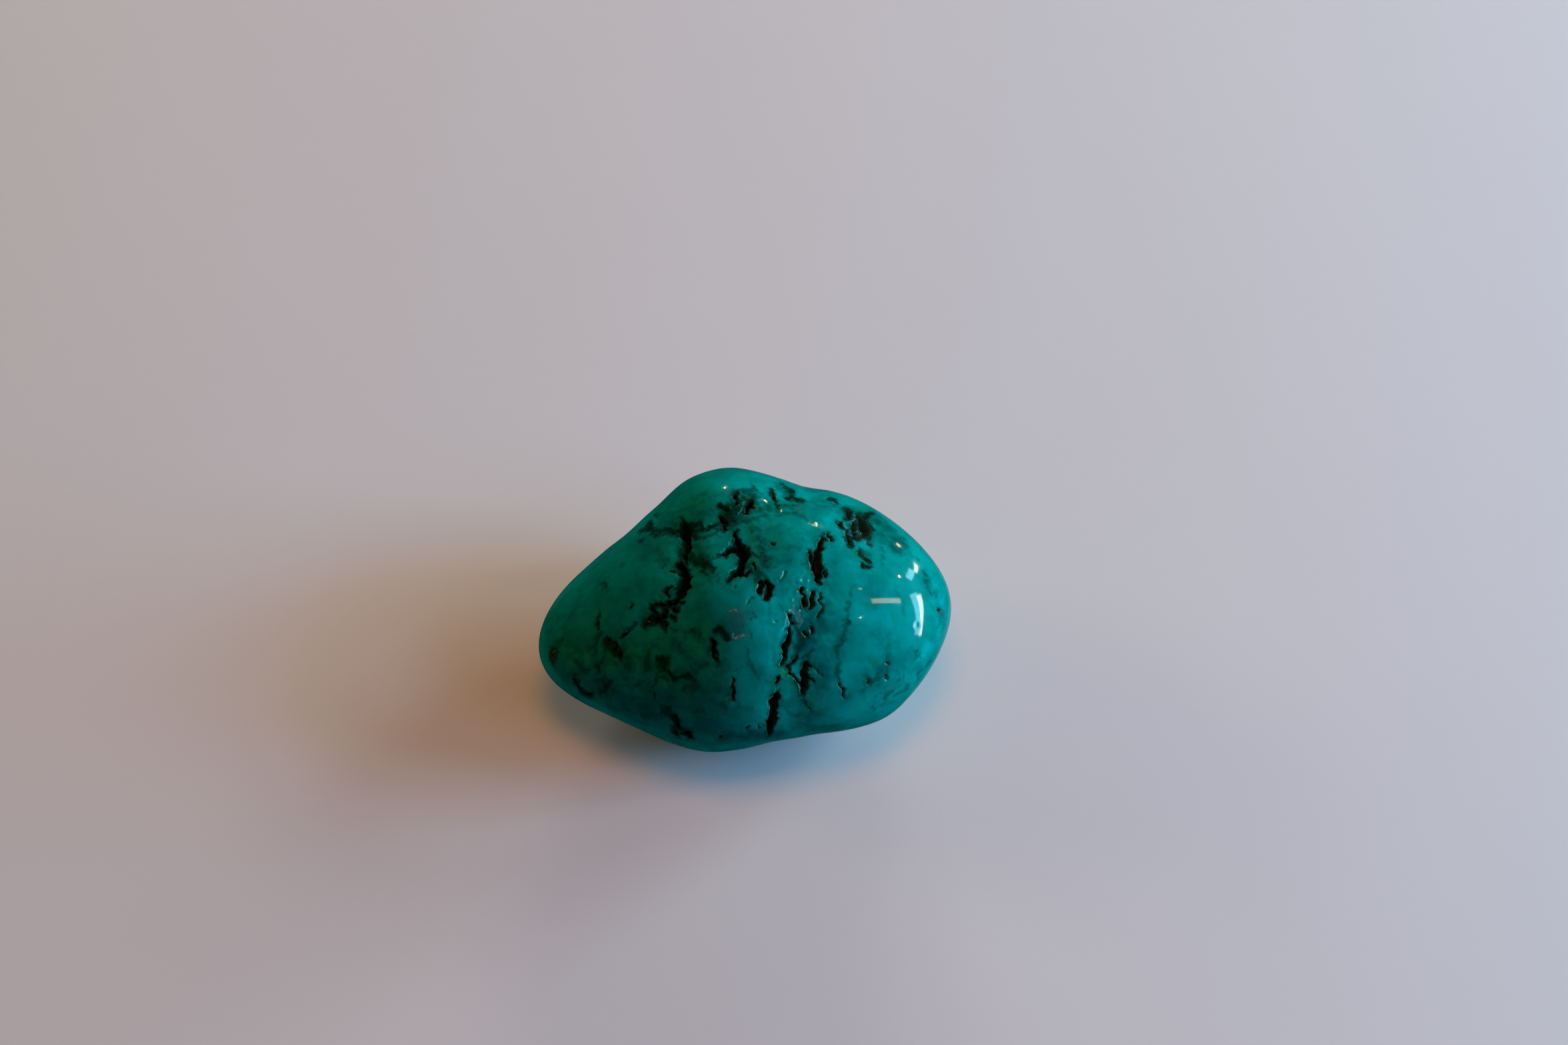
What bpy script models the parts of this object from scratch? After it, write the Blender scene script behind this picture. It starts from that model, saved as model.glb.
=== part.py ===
"""A tumbled turquoise nugget, 80 mm long, lying on a worn flat on its underside.

The stone is one closed solid. Its form is an ellipsoid raised and lowered by broad swells, with
shallow dents over it. The hard, dark matrix has broken out of the polished face in crevices and
pits. Every depth is taken along the line to the stone's middle, so the skin never folds.
"""

import math
from typing import NamedTuple

import bmesh
import bpy
import numpy as np

MM = 0.001
NODE = "turquoise_nugget"

# Driving dimensions in millimetres. +X is the long way, +Y the back, +Z up.
HALF_LENGTH = 37.6
HALF_WIDTH = 27.6
HALF_HEIGHT = 21.7
FLAT_CUT = 1.3

# The skin's fine unevenness from tumbling.
RIPPLE_HEIGHT = 0.12
RIPPLE_LENGTH = 13.0

# How finely the skin is divided: everywhere, and then near the pits' walls.
SPHERE_LEVEL = 5
WALL_REACHES = (0.7, 0.2)

# Pits keep to the side that faces their sheet, and fade out over this range of facing.
FACING_START = 0.12
FACING_FULL = 0.35
# A pit's outline wanders by this much, over this length, as broken stone does.
RAGGED = 0.16
RAGGED_LENGTH = 4.3

STONE_COLOUR = (0.010, 0.300, 0.285, 1.0)
STONE_ROUGHNESS = 0.16


class Swell(NamedTuple):
    """A broad rise or hollow. Bearing turns from +X towards +Y, rise is above level, in degrees."""

    bearing: float
    rise: float
    spread: float
    height: float


class Trough(NamedTuple):
    """A sunken line on a sheet: its depth and its (across, up, width) points, in millimetres."""

    depth: float
    points: list


class Sheet(NamedTuple):
    """A flat sheet before the stone, seen from an eye, on which pits are laid out."""

    eye: tuple
    right: tuple
    up: tuple
    pits: dict
    dents: dict


SWELLS = {
    "north_west_hump": Swell(105, 31, 20, 4.1),
    "north_saddle": Swell(74, 31, 17, -1.0),
    "north_east_shoulder": Swell(45, 23, 23, 1.5),
    "east_end": Swell(5, 3, 14, 2.3),
    "south_east_corner": Swell(-31, -18, 13, 2.3),
    "south_hollow": Swell(-70, -30, 21, -2.2),
    "south_belly": Swell(-110, -30, 19, 2.2),
    "south_west_hollow": Swell(-135, -24, 25, -0.6),
    "west_nose": Swell(-169, -7, 14, 5.6),
    "north_west_hollow": Swell(153, 16, 23, -4.4),
    "crest": Swell(-98, 58, 17, 1.2),
    "west_flank": Swell(-148, 41, 18, -0.8),
    "east_dome": Swell(-11, 24, 16, 0.8),
    "back_bulge": Swell(80, -12, 20, 1.4),
    "back_west_hollow": Swell(125, -20, 18, -1.2),
    "under_east_hollow": Swell(20, -38, 18, -1.3),
}

FACE_DENTS = {
    "seam_valley": Trough(0.9, [(14.5, 4.0, 8.0), (12.5, -6.0, 10.0), (9.5, -20.0, 10.0)]),
    "north_east_dish": Trough(0.8, [(19.0, 19.0, 9.0), (23.0, 14.0, 10.0)]),
    "west_furrow": Trough(0.7, [(-11.5, 17.0, 7.0), (-12.5, 4.0, 8.0), (-20.0, -3.0, 8.0)]),
    "north_furrow": Trough(0.5, [(-6.0, 18.5, 6.0), (3.0, 20.0, 7.0), (9.0, 23.0, 6.0)]),
}

FACE_PITS = {
    "west_crevice": Trough(2.4, [(-12.3, 18.2, 0.5), (-11.9, 16.2, 2.0), (-11.7, 13.6, 1.7),
                                 (-11.7, 11.5, 1.0), (-11.8, 9.2, 0.5)]),
    "west_hole": Trough(3.0, [(-13.6, 9.2, 1.1), (-12.2, 7.5, 1.8), (-12.5, 4.7, 2.6),
                              (-13.6, 2.4, 1.3), (-14.4, 1.4, 0.8)]),
    "west_ledge": Trough(1.5, [(-14.7, 4.7, 1.0), (-15.5, 0.7, 1.2), (-18.1, -0.1, 1.9),
                               (-19.7, -2.2, 1.5), (-17.2, -1.8, 1.2), (-15.7, -3.3, 0.7)]),
    "middle_crevice": Trough(2.2, [(-1.8, 15.7, 0.5), (-1.3, 13.6, 1.1), (-0.7, 11.7, 1.5),
                                   (0.0, 10.4, 1.4), (-1.0, 8.6, 1.2), (-1.2, 7.0, 0.7),
                                   (0.4, 6.8, 0.6)]),
    "middle_wing": Trough(1.6, [(-0.5, 12.3, 1.3), (-2.4, 12.0, 1.8), (-4.3, 10.8, 0.9)]),
    "middle_chip": Trough(1.3, [(-1.4, 7.8, 0.8), (-2.5, 6.5, 1.1)]),
    "north_pit": Trough(1.8, [(0.3, 21.3, 1.7), (1.2, 20.9, 1.7), (-0.3, 19.5, 0.9)]),
    "north_crumbs": Trough(1.0, [(-1.7, 22.2, 1.8), (-2.4, 21.3, 1.0)]),
    "north_west_crumbs": Trough(1.0, [(-4.3, 20.5, 1.3), (-4.5, 18.2, 2.1), (-3.7, 16.7, 1.2)]),
    "north_rim_chip": Trough(1.1, [(5.8, 23.6, 1.4), (6.2, 21.7, 1.0)]),
    "north_east_hollow": Trough(1.7, [(18.9, 17.4, 1.2), (20.2, 15.4, 1.7), (21.1, 13.7, 1.4),
                                      (23.6, 14.4, 2.1), (23.7, 16.9, 2.1), (22.4, 18.8, 1.8),
                                      (20.6, 20.0, 1.2)]),
    "east_chip": Trough(0.9, [(23.0, 11.9, 0.6), (24.0, 10.3, 0.9), (24.9, 9.4, 0.8)]),
    "east_crevice": Trough(2.0, [(17.2, 14.9, 0.6), (15.4, 13.6, 0.9), (14.6, 11.5, 1.6),
                                 (14.2, 9.5, 1.6), (14.6, 7.3, 1.4), (15.7, 5.6, 0.8)]),
    "twin_pit_left": Trough(1.5, [(11.4, 4.8, 0.8), (12.1, 2.8, 1.1), (11.9, 1.0, 0.8)]),
    "twin_pit_right": Trough(1.6, [(14.0, 3.7, 0.9), (13.9, 1.6, 1.7)]),
    "centre_pit": Trough(1.6, [(3.0, 5.2, 1.4), (3.1, 3.6, 1.5), (4.6, 2.6, 1.4), (5.1, 4.1, 1.1)]),
    "main_seam": Trough(2.2, [(8.4, -0.3, 0.5), (9.6, -2.7, 0.9), (8.9, -5.2, 1.0),
                              (8.3, -7.8, 1.4), (7.6, -10.6, 0.6)]),
    "seam_branch": Trough(1.2, [(10.8, -9.2, 0.7), (9.3, -11.1, 1.1), (9.8, -13.2, 1.0),
                                (11.3, -15.3, 0.8)]),
    "star_pit": Trough(2.2, [(11.8, -10.0, 0.8), (11.9, -12.1, 1.4), (12.2, -13.4, 2.1),
                             (12.1, -15.3, 1.2), (12.1, -17.1, 0.6)]),
    "star_arm": Trough(1.6, [(12.2, -13.2, 1.8), (13.9, -14.1, 0.6)]),
    "south_seam": Trough(2.6, [(6.8, -17.0, 0.6), (6.2, -18.4, 1.6), (5.8, -21.2, 1.6),
                               (5.2, -23.7, 1.4), (4.9, -24.5, 0.8)]),
    "dark_slit": Trough(1.4, [(-6.3, -6.1, 1.2), (-5.9, -7.8, 1.2), (-5.4, -9.6, 0.6)]),
    "west_pit": Trough(1.1, [(-26.9, -6.2, 1.6), (-25.8, -7.4, 1.8), (-24.4, -8.6, 1.5)]),
    "south_west_pits": Trough(1.2, [(-13.6, -21.6, 0.9), (-12.5, -23.0, 1.4), (-11.2, -24.1, 1.0),
                                    (-10.4, -24.9, 1.1)]),
}

BACK_DENTS = {
    "back_valley": Trough(0.9, [(-14.0, 14.0, 9.0), (-9.0, 2.0, 11.0), (-12.0, -10.0, 10.0)]),
}

BACK_PITS = {
    "back_crevice": Trough(2.0, [(-8.5, 9.5, 0.7), (-7.6, 6.8, 1.4), (-8.2, 4.0, 1.7),
                                 (-7.0, 1.2, 1.1), (-6.9, -1.0, 0.6)]),
    "back_pit": Trough(1.5, [(9.0, 3.0, 1.6), (10.6, 2.2, 1.9), (11.2, 0.4, 1.1)]),
    "back_slit": Trough(1.3, [(20.0, -2.0, 0.7), (19.0, -5.0, 1.2), (19.4, -8.0, 0.7)]),
    "back_chip": Trough(1.1, [(-22.0, 1.0, 1.3), (-23.4, -0.8, 1.6)]),
}

EYE_DISTANCE = 900.0
FACE_TILT = math.radians(58.3)
FACE_SHEET = Sheet(
    eye=(7.4, -457.0, 774.8),
    right=(1.0, 0.0, 0.0),
    up=(0.0, math.sin(FACE_TILT), math.cos(FACE_TILT)),
    pits=FACE_PITS,
    dents=FACE_DENTS,
)
# The face sheet's zero is the point of it in line with the stone's middle.
FACE_ZERO = (-7.9, -17.3)
BACK_SHEET = Sheet(
    eye=(0.0, EYE_DISTANCE, 0.0),
    right=(-1.0, 0.0, 0.0),
    up=(0.0, 0.0, 1.0),
    pits=BACK_PITS,
    dents=BACK_DENTS,
)
BACK_ZERO = (0.0, 0.0)


def clear_scene():
    """Remove everything that the scene starts with."""
    for thing in list(bpy.data.objects):
        bpy.data.objects.remove(thing, do_unlink=True)


def ease(low, high, value):
    """0 below low, 1 above high, and a smooth step between."""
    share = np.clip((value - low) / (high - low), 0.0, 1.0)
    return share * share * (3.0 - 2.0 * share)


def pointing(bearing, rise):
    """The unit vector of a bearing and a rise given in degrees."""
    around, above = math.radians(bearing), math.radians(rise)
    level = math.cos(above)
    return np.array((level * math.cos(around), level * math.sin(around), math.sin(above)))


def ripple(directions):
    """A small sum of crossing waves over the skin, from -1 to 1."""
    turns = 2.0 * math.pi * HALF_WIDTH / RIPPLE_LENGTH
    east, north, high = (directions * turns).T
    waves = np.sin(east + 1.3 * north) + np.sin(1.1 * north - 0.9 * high + 2.0)
    return (waves + np.sin(0.8 * high + 1.2 * east + 4.0)) / 3.0


def skin_radius(directions):
    """Distance from the middle to the swelling skin, before any pit, along each direction."""
    shares = directions / np.array((HALF_LENGTH, HALF_WIDTH, HALF_HEIGHT))
    radius = 1.0 / np.linalg.norm(shares, axis=1)
    for swell in SWELLS.values():
        turned = directions @ pointing(swell.bearing, swell.rise) - 1.0
        radius += swell.height * np.exp(turned / math.radians(swell.spread) ** 2)
    return radius + RIPPLE_HEIGHT * ripple(directions)


def on_sheet(sheet, zero, places):
    """Each place's across and up on the sheet, in millimetres, with a ragged wander added."""
    ahead = np.cross(sheet.up, sheet.right)
    line = places - np.array(sheet.eye)
    scale = EYE_DISTANCE / (line @ ahead)
    across = line @ np.array(sheet.right) * scale - zero[0]
    up = line @ np.array(sheet.up) * scale - zero[1]
    turns = 2.0 * math.pi / RAGGED_LENGTH
    wander = np.sin(turns * up + 0.7 * across) + 0.6 * np.sin(2.3 * turns * up + 1.0)
    sway = np.sin(turns * across - 0.5 * up + 2.1) + 0.6 * np.sin(2.1 * turns * across)
    return across + RAGGED * wander, up + RAGGED * sway


def share_of_half_width(trough, across, up):
    """Distance from a trough's line over its half width there: 1 is the trough's edge."""
    least = np.full(across.shape, np.inf)
    for (x0, y0, width0), (x1, y1, width1) in zip(trough.points, trough.points[1:]):
        run, climb = x1 - x0, y1 - y0
        along = ((across - x0) * run + (up - y0) * climb) / (run * run + climb * climb)
        along = np.clip(along, 0.0, 1.0)
        gap = np.hypot(across - x0 - along * run, up - y0 - along * climb)
        half = 0.5 * (width0 + along * (width1 - width0))
        least = np.minimum(least, gap / half)
    return least


def wall_gap(trough, across, up):
    """Rough distance outside a trough's edge, in millimetres. It is below 0 inside."""
    widest = max(width for _, _, width in trough.points)
    return (share_of_half_width(trough, across, up) - 1.0) * 0.5 * widest


def facing(sheet, directions, places):
    """1 where the skin faces the sheet's eye, and 0 where it turns away."""
    sizes = np.array((HALF_LENGTH, HALF_WIDTH, HALF_HEIGHT))
    outward = directions / sizes**2
    outward /= np.linalg.norm(outward, axis=1)[:, None]
    line = np.array(sheet.eye) - places
    line /= np.linalg.norm(line, axis=1)[:, None]
    return ease(FACING_START, FACING_FULL, np.sum(outward * line, axis=1))


def sheets():
    """Both sheets, each with its zero."""
    return ((FACE_SHEET, FACE_ZERO), (BACK_SHEET, BACK_ZERO))


def sunk_radius(directions):
    """Distance from the middle to the finished skin, with dents and pits taken out."""
    radius = skin_radius(directions)
    places = directions * radius[:, None]
    for sheet, zero in sheets():
        across, up = on_sheet(sheet, zero, places)
        seen = facing(sheet, directions, places)
        pit = np.zeros(len(radius))
        for trough in sheet.pits.values():
            share = share_of_half_width(trough, across, up)
            pit = np.maximum(pit, trough.depth * (1.0 - ease(0.35, 1.2, share)))
        for trough in sheet.dents.values():
            share = share_of_half_width(trough, across, up)
            pit += trough.depth * np.exp(-share * share)
        radius = radius - seen * pit
    return radius


def nearest_wall(directions):
    """Distance from each direction's place on the skin to the nearest pit's wall, on its sheet."""
    places = directions * skin_radius(directions)[:, None]
    gap = np.full(len(directions), np.inf)
    for sheet, zero in sheets():
        across, up = on_sheet(sheet, zero, places)
        away = np.where(facing(sheet, directions, places) > 0.0, 0.0, np.inf)
        for trough in sheet.pits.values():
            gap = np.minimum(gap, wall_gap(trough, across, up) + away)
    return gap


def vertex_directions(ball):
    """The unit vector from the middle to each vertex."""
    points = np.array([vertex.co[:] for vertex in ball.verts])
    return points / np.linalg.norm(points, axis=1)[:, None]


def refine_near_walls(ball, reach):
    """Split in two every edge with an end inside a pit or within reach of its wall."""
    near = nearest_wall(vertex_directions(ball)) < reach
    ball.verts.index_update()
    edges = [edge for edge in ball.edges if any(near[vertex.index] for vertex in edge.verts)]
    bmesh.ops.subdivide_edges(ball, edges=edges, cuts=1, use_grid_fill=True)
    bmesh.ops.triangulate(ball, faces=ball.faces[:])


def set_on_flat(ball):
    """Cut the worn flat under the stone, close it, and put the box's lowest middle at zero."""
    floor = min(vertex.co.z for vertex in ball.verts) + FLAT_CUT * MM
    everything = ball.verts[:] + ball.edges[:] + ball.faces[:]
    cut = bmesh.ops.bisect_plane(
        ball, geom=everything, plane_co=(0.0, 0.0, floor), plane_no=(0.0, 0.0, -1.0), clear_outer=True
    )
    rim = [piece for piece in cut["geom_cut"] if isinstance(piece, bmesh.types.BMEdge)]
    bmesh.ops.edgeloop_fill(ball, edges=rim)
    points = np.array([vertex.co[:] for vertex in ball.verts])
    low, high = points.min(axis=0), points.max(axis=0)
    shift = (-0.5 * (low[0] + high[0]), -0.5 * (low[1] + high[1]), -low[2])
    bmesh.ops.translate(ball, verts=ball.verts[:], vec=shift)


def nugget_mesh():
    """The stone's closed skin: a divided sphere drawn in and out to the finished radius."""
    ball = bmesh.new()
    bmesh.ops.create_icosphere(ball, subdivisions=SPHERE_LEVEL, radius=1.0)
    for reach in WALL_REACHES:
        refine_near_walls(ball, reach)
    directions = vertex_directions(ball)
    places = directions * sunk_radius(directions)[:, None] * MM
    for vertex, place in zip(ball.verts, places):
        vertex.co = place
    set_on_flat(ball)
    bmesh.ops.recalc_face_normals(ball, faces=ball.faces[:])
    mesh = bpy.data.meshes.new(NODE)
    ball.to_mesh(mesh)
    ball.free()
    mesh.shade_smooth()
    return mesh


def stone_material():
    """Polished blue-green turquoise."""
    material = bpy.data.materials.new("turquoise")
    material.use_nodes = True
    shader = material.node_tree.nodes["Principled BSDF"]
    shader.inputs["Base Color"].default_value = STONE_COLOUR
    shader.inputs["Roughness"].default_value = STONE_ROUGHNESS
    shader.inputs["Metallic"].default_value = 0.0
    return material


def main():
    """Build the stone."""
    clear_scene()
    mesh = nugget_mesh()
    mesh.materials.append(stone_material())
    bpy.context.scene.collection.objects.link(bpy.data.objects.new(NODE, mesh))


main()
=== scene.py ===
"""The looks of a tumbled turquoise nugget: its polished skin, matrix pits, veins and studio.

The stone is one piece. Its skin is a ball grid drawn in and out by broad swells, shallow dents
and broken pits, laid out in millimetres on two flat sheets held before and behind the stone.
Each sheet also places the stains, veins and worn patches that the finish colours, and the
painted shade, painted light and painted glints that it adds.
"""

from __future__ import annotations

import logging
import math
from dataclasses import dataclass, field
from enum import Enum
from typing import ClassVar, NamedTuple

import bpy
import numpy as np
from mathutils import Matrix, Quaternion, Vector


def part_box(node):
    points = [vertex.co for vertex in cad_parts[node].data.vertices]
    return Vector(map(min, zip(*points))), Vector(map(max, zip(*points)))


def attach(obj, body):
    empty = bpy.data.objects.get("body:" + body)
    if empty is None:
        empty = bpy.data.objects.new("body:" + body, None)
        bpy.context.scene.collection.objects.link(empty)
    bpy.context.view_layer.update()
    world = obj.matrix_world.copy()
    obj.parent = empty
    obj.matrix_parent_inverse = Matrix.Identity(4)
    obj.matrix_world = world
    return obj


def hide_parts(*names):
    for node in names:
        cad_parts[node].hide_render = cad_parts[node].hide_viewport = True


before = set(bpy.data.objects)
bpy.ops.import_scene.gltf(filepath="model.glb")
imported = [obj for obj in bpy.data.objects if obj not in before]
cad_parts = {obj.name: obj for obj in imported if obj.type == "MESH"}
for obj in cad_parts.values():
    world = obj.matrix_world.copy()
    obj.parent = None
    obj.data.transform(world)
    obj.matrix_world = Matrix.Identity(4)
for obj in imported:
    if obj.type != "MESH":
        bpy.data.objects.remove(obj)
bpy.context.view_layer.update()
LOG = logging.getLogger("turquoise")
MM = 0.001
NODE = "turquoise_nugget"
# How far off an eye is in millimetres, and how steeply the face's eye looks down from level.
EYE_DISTANCE = 900.0
FACE_TILT = math.radians(58.3)

Array = np.ndarray
Colour = tuple[float, ...]
Point = tuple[float, float, float]
Span = tuple[float, float]
Socket = bpy.types.NodeSocket
Value = Socket | float | Colour
Tree = bpy.types.NodeTree


# --- numbers over arrays

# Large odd numbers, shifts and bit masks that scramble whole numbers.
CELL_STEPS = (73856093, 19349663, 83492791)
SEED_STEP = 2654435761
STIR_STEP = 1274126177
STIR_SHIFTS = (13, 16)
KEPT_BITS = 0x7FFFFFFF
SHARE_BITS = 0xFFFFF


def ease(low: float, high: float, value: Array) -> Array:
    """A smooth step: 0 below low, 1 above high, and 3s² - 2s³ of the share s between."""
    share = np.clip((value - low) / (high - low), 0.0, 1.0)
    return share * share * (3.0 - 2.0 * share)


def fade(past: Array, reach: float) -> Array:
    """1 inside an edge, and e to the power of -(distance past it / reach) outside."""
    return np.exp(-np.maximum(past, 0.0) / reach)


def unit(rows: Array) -> Array:
    """Each row over its own length."""
    return rows / np.linalg.norm(rows, axis=-1, keepdims=True)


def pointing(bearing: float, rise: float) -> Array:
    """A direction from its two angles.

    It is (cos rise × cos bearing, cos rise × sin bearing, sin rise).

    Args:
        bearing: degrees from +X towards +Y.
        rise: degrees above level.

    Returns:
        The unit vector.
    """
    around, above = math.radians(bearing), math.radians(rise)
    level = math.cos(above)
    return np.array((level * math.cos(around), level * math.sin(around), math.sin(above)))


def scramble(cells: Array, seed: int) -> Array:
    """A fixed random share for each whole-numbered cell.

    The three whole numbers are multiplied by large odd numbers, joined bit by bit, and stirred
    by two shifts and a product; the low 20 bits over 2^20 are the share.

    Args:
        cells: rows of three whole numbers.
        seed: picks one of many such patterns.

    Returns:
        One number from 0 to 1 for each row.
    """
    first, second, third = (cells[..., axis] * step for axis, step in enumerate(CELL_STEPS))
    mixed = ((first ^ second ^ third) + seed * SEED_STEP) & KEPT_BITS
    mixed = ((mixed ^ (mixed >> STIR_SHIFTS[0])) * STIR_STEP) & KEPT_BITS
    return ((mixed ^ (mixed >> STIR_SHIFTS[1])) & SHARE_BITS) / float(SHARE_BITS)


def soft_noise(places: Array, length: float, seed: int) -> Array:
    """Smooth noise from -1 to 1 that changes over the given length.

    Space is cut into cubes of that length, each corner has a random share, and a place takes
    the eight corners' shares in proportion to its eased nearness to each.

    Args:
        places: rows of x, y, z in millimetres.
        length: the cubes' side in millimetres.
        seed: picks the pattern.

    Returns:
        One number for each place.
    """
    scaled = places / length
    base = np.floor(scaled).astype(np.int64)
    share = ease(0.0, 1.0, scaled - base)
    total = np.zeros(len(places))
    for corner in np.ndindex(2, 2, 2):
        weight = np.prod(np.where(corner, share, 1.0 - share), axis=1)
        total += weight * scramble(base + np.array(corner), seed)
    return total * 2.0 - 1.0


def crumble(places: Array, length: float, seed: int) -> tuple[Array, Array]:
    """Broken grains: each place belongs to the nearest of one jittered point per cube.

    Args:
        places: rows of x, y, z in millimetres.
        length: a grain's size in millimetres.
        seed: picks the pattern; the four seeds after it are used too.

    Returns:
        Each place's grain share from 0 to 1, and how much further the second nearest point is
        than the nearest, which is 0 in the crack between two grains.
    """
    scaled = places / length
    base = np.floor(scaled).astype(np.int64)
    near = np.full(len(places), np.inf)
    second = np.full(len(places), np.inf)
    grain = np.zeros(len(places))
    for step in np.ndindex(3, 3, 3):
        cell = base + np.array(step) - 1
        jitter = np.stack([scramble(cell, seed + axis) for axis in (1, 2, 3)], axis=1)
        gap = np.linalg.norm(cell + jitter - scaled, axis=1)
        closer = gap < near
        second = np.where(closer, near, np.minimum(second, gap))
        grain = np.where(closer, scramble(cell, seed + 4), grain)
        near = np.where(closer, gap, near)
    return grain, second - near


# --- marks on the stone


class Kind(Enum):
    """What a mark on the stone is."""

    PIT = "a clean-walled hole or crevice with dark matrix on its floor"
    CRUMB = "a patch broken into grains, dark between them"
    DENT = "a broad shallow hollow in the polished skin"
    NICK = "a small shallow dimple in the polished skin"
    STAIN = "matrix colour soaked into flat stone"
    VEIN = "a thin dark line in flat stone"
    SMOKE = "dark green smoke round broken ground"
    GREEN = "a greener cloud"
    # Shade clouds are painted shade along the bottom edge and in the seam valley, and deeper, bluer
    # tone elsewhere.
    SHADE = "a deeper, bluer cloud"
    # Dim clouds are mostly painted shade on the side turned from the window, and darker tone
    # elsewhere.
    DIM_AND_PAINTED_SHADE = "a darker cloud of the same hue"
    # Bright clouds are partly painted light on faces turned to the window, and lighter tone
    # elsewhere.
    BRIGHT = "a brighter cloud"
    # Chalk is pale fresh edges, and painted light on the lips of pits that face the window.
    CHALK_AND_PAINTED_LIGHT = "a pale fresh edge"
    SCUFF = "a dull grey-lilac rub"
    # Where rust is full, its gold specks are also painted glints, as at the west ledge.
    RUST = "rusty matrix, with gold specks where it is full"


@dataclass(frozen=True)
class Mark:
    """A line of one kind on a sheet.

    Attributes:
        name: its own name among the marks of its kind.
        kind: what it is.
        strength: depth in millimetres where it is sunk, or strength of colour from 0 to 1.
        points: its (across, up, width) points in millimetres.
    """

    name: str
    kind: Kind
    strength: float
    points: tuple[Point, ...]

    def reach(self, across: Array, up: Array) -> tuple[Array, Array]:
        """Distance from the mark's line over its half width there, and distance past its edge.

        Each stretch gives the distance to its nearest point, over or less the half width that
        lies between its two ends' half widths at that point. The least of the stretches counts.

        Args:
            across: each place's distance to the right on the sheet.
            up: each place's distance up on the sheet.

        Returns:
            The share, which is 1 at the mark's edge, and the millimetres past the edge.
        """
        share = np.full(across.shape, np.inf)
        past = np.full(across.shape, np.inf)
        for (x0, y0, width0), (x1, y1, width1) in zip(self.points, self.points[1:]):
            run, climb = x1 - x0, y1 - y0
            along = ((across - x0) * run + (up - y0) * climb) / (run * run + climb * climb)
            along = np.clip(along, 0.0, 1.0)
            gap = np.hypot(across - x0 - along * run, up - y0 - along * climb)
            half = 0.5 * (width0 + along * (width1 - width0))
            share = np.minimum(share, gap / half)
            past = np.minimum(past, gap - half)
        return share, past


def marks(kind: Kind, rows: dict[str, tuple[float | Point, ...]]) -> tuple[Mark, ...]:
    """Marks of one kind from named rows of a strength and the line's points."""
    return tuple(Mark(name, kind, row[0], row[1:]) for name, row in rows.items())


def soaked(patches: tuple[Mark, ...], rows: dict[str, Span]) -> tuple[Mark, ...]:
    """Stains that lie along broken patches, wider than the patches are.

    Args:
        patches: the marks whose lines the stains take.
        rows: the stain's strength and how many times as wide it is, by the patch's name.

    Returns:
        A stain for each row.
    """
    lines = {patch.name: patch.points for patch in patches}
    return tuple(
        Mark(name, Kind.STAIN, strength, tuple((x, y, wider * w) for x, y, w in lines[name]))
        for name, (strength, wider) in rows.items()
    )


FACE_DENTS = marks(Kind.DENT, {
    "seam_valley": (0.9, (14.5, 4, 8), (12.5, -6, 10), (9.5, -20, 10)),
    "north_east_dish": (0.5, (20.6, 19, 7), (23.6, 14.4, 8)),
    "west_furrow": (0.7, (-11.5, 17, 7), (-12.5, 4, 8), (-20, -3, 8)),
    "north_furrow": (0.5, (-6, 18.5, 6), (3, 20, 7), (9, 23, 6)),
})

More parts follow.
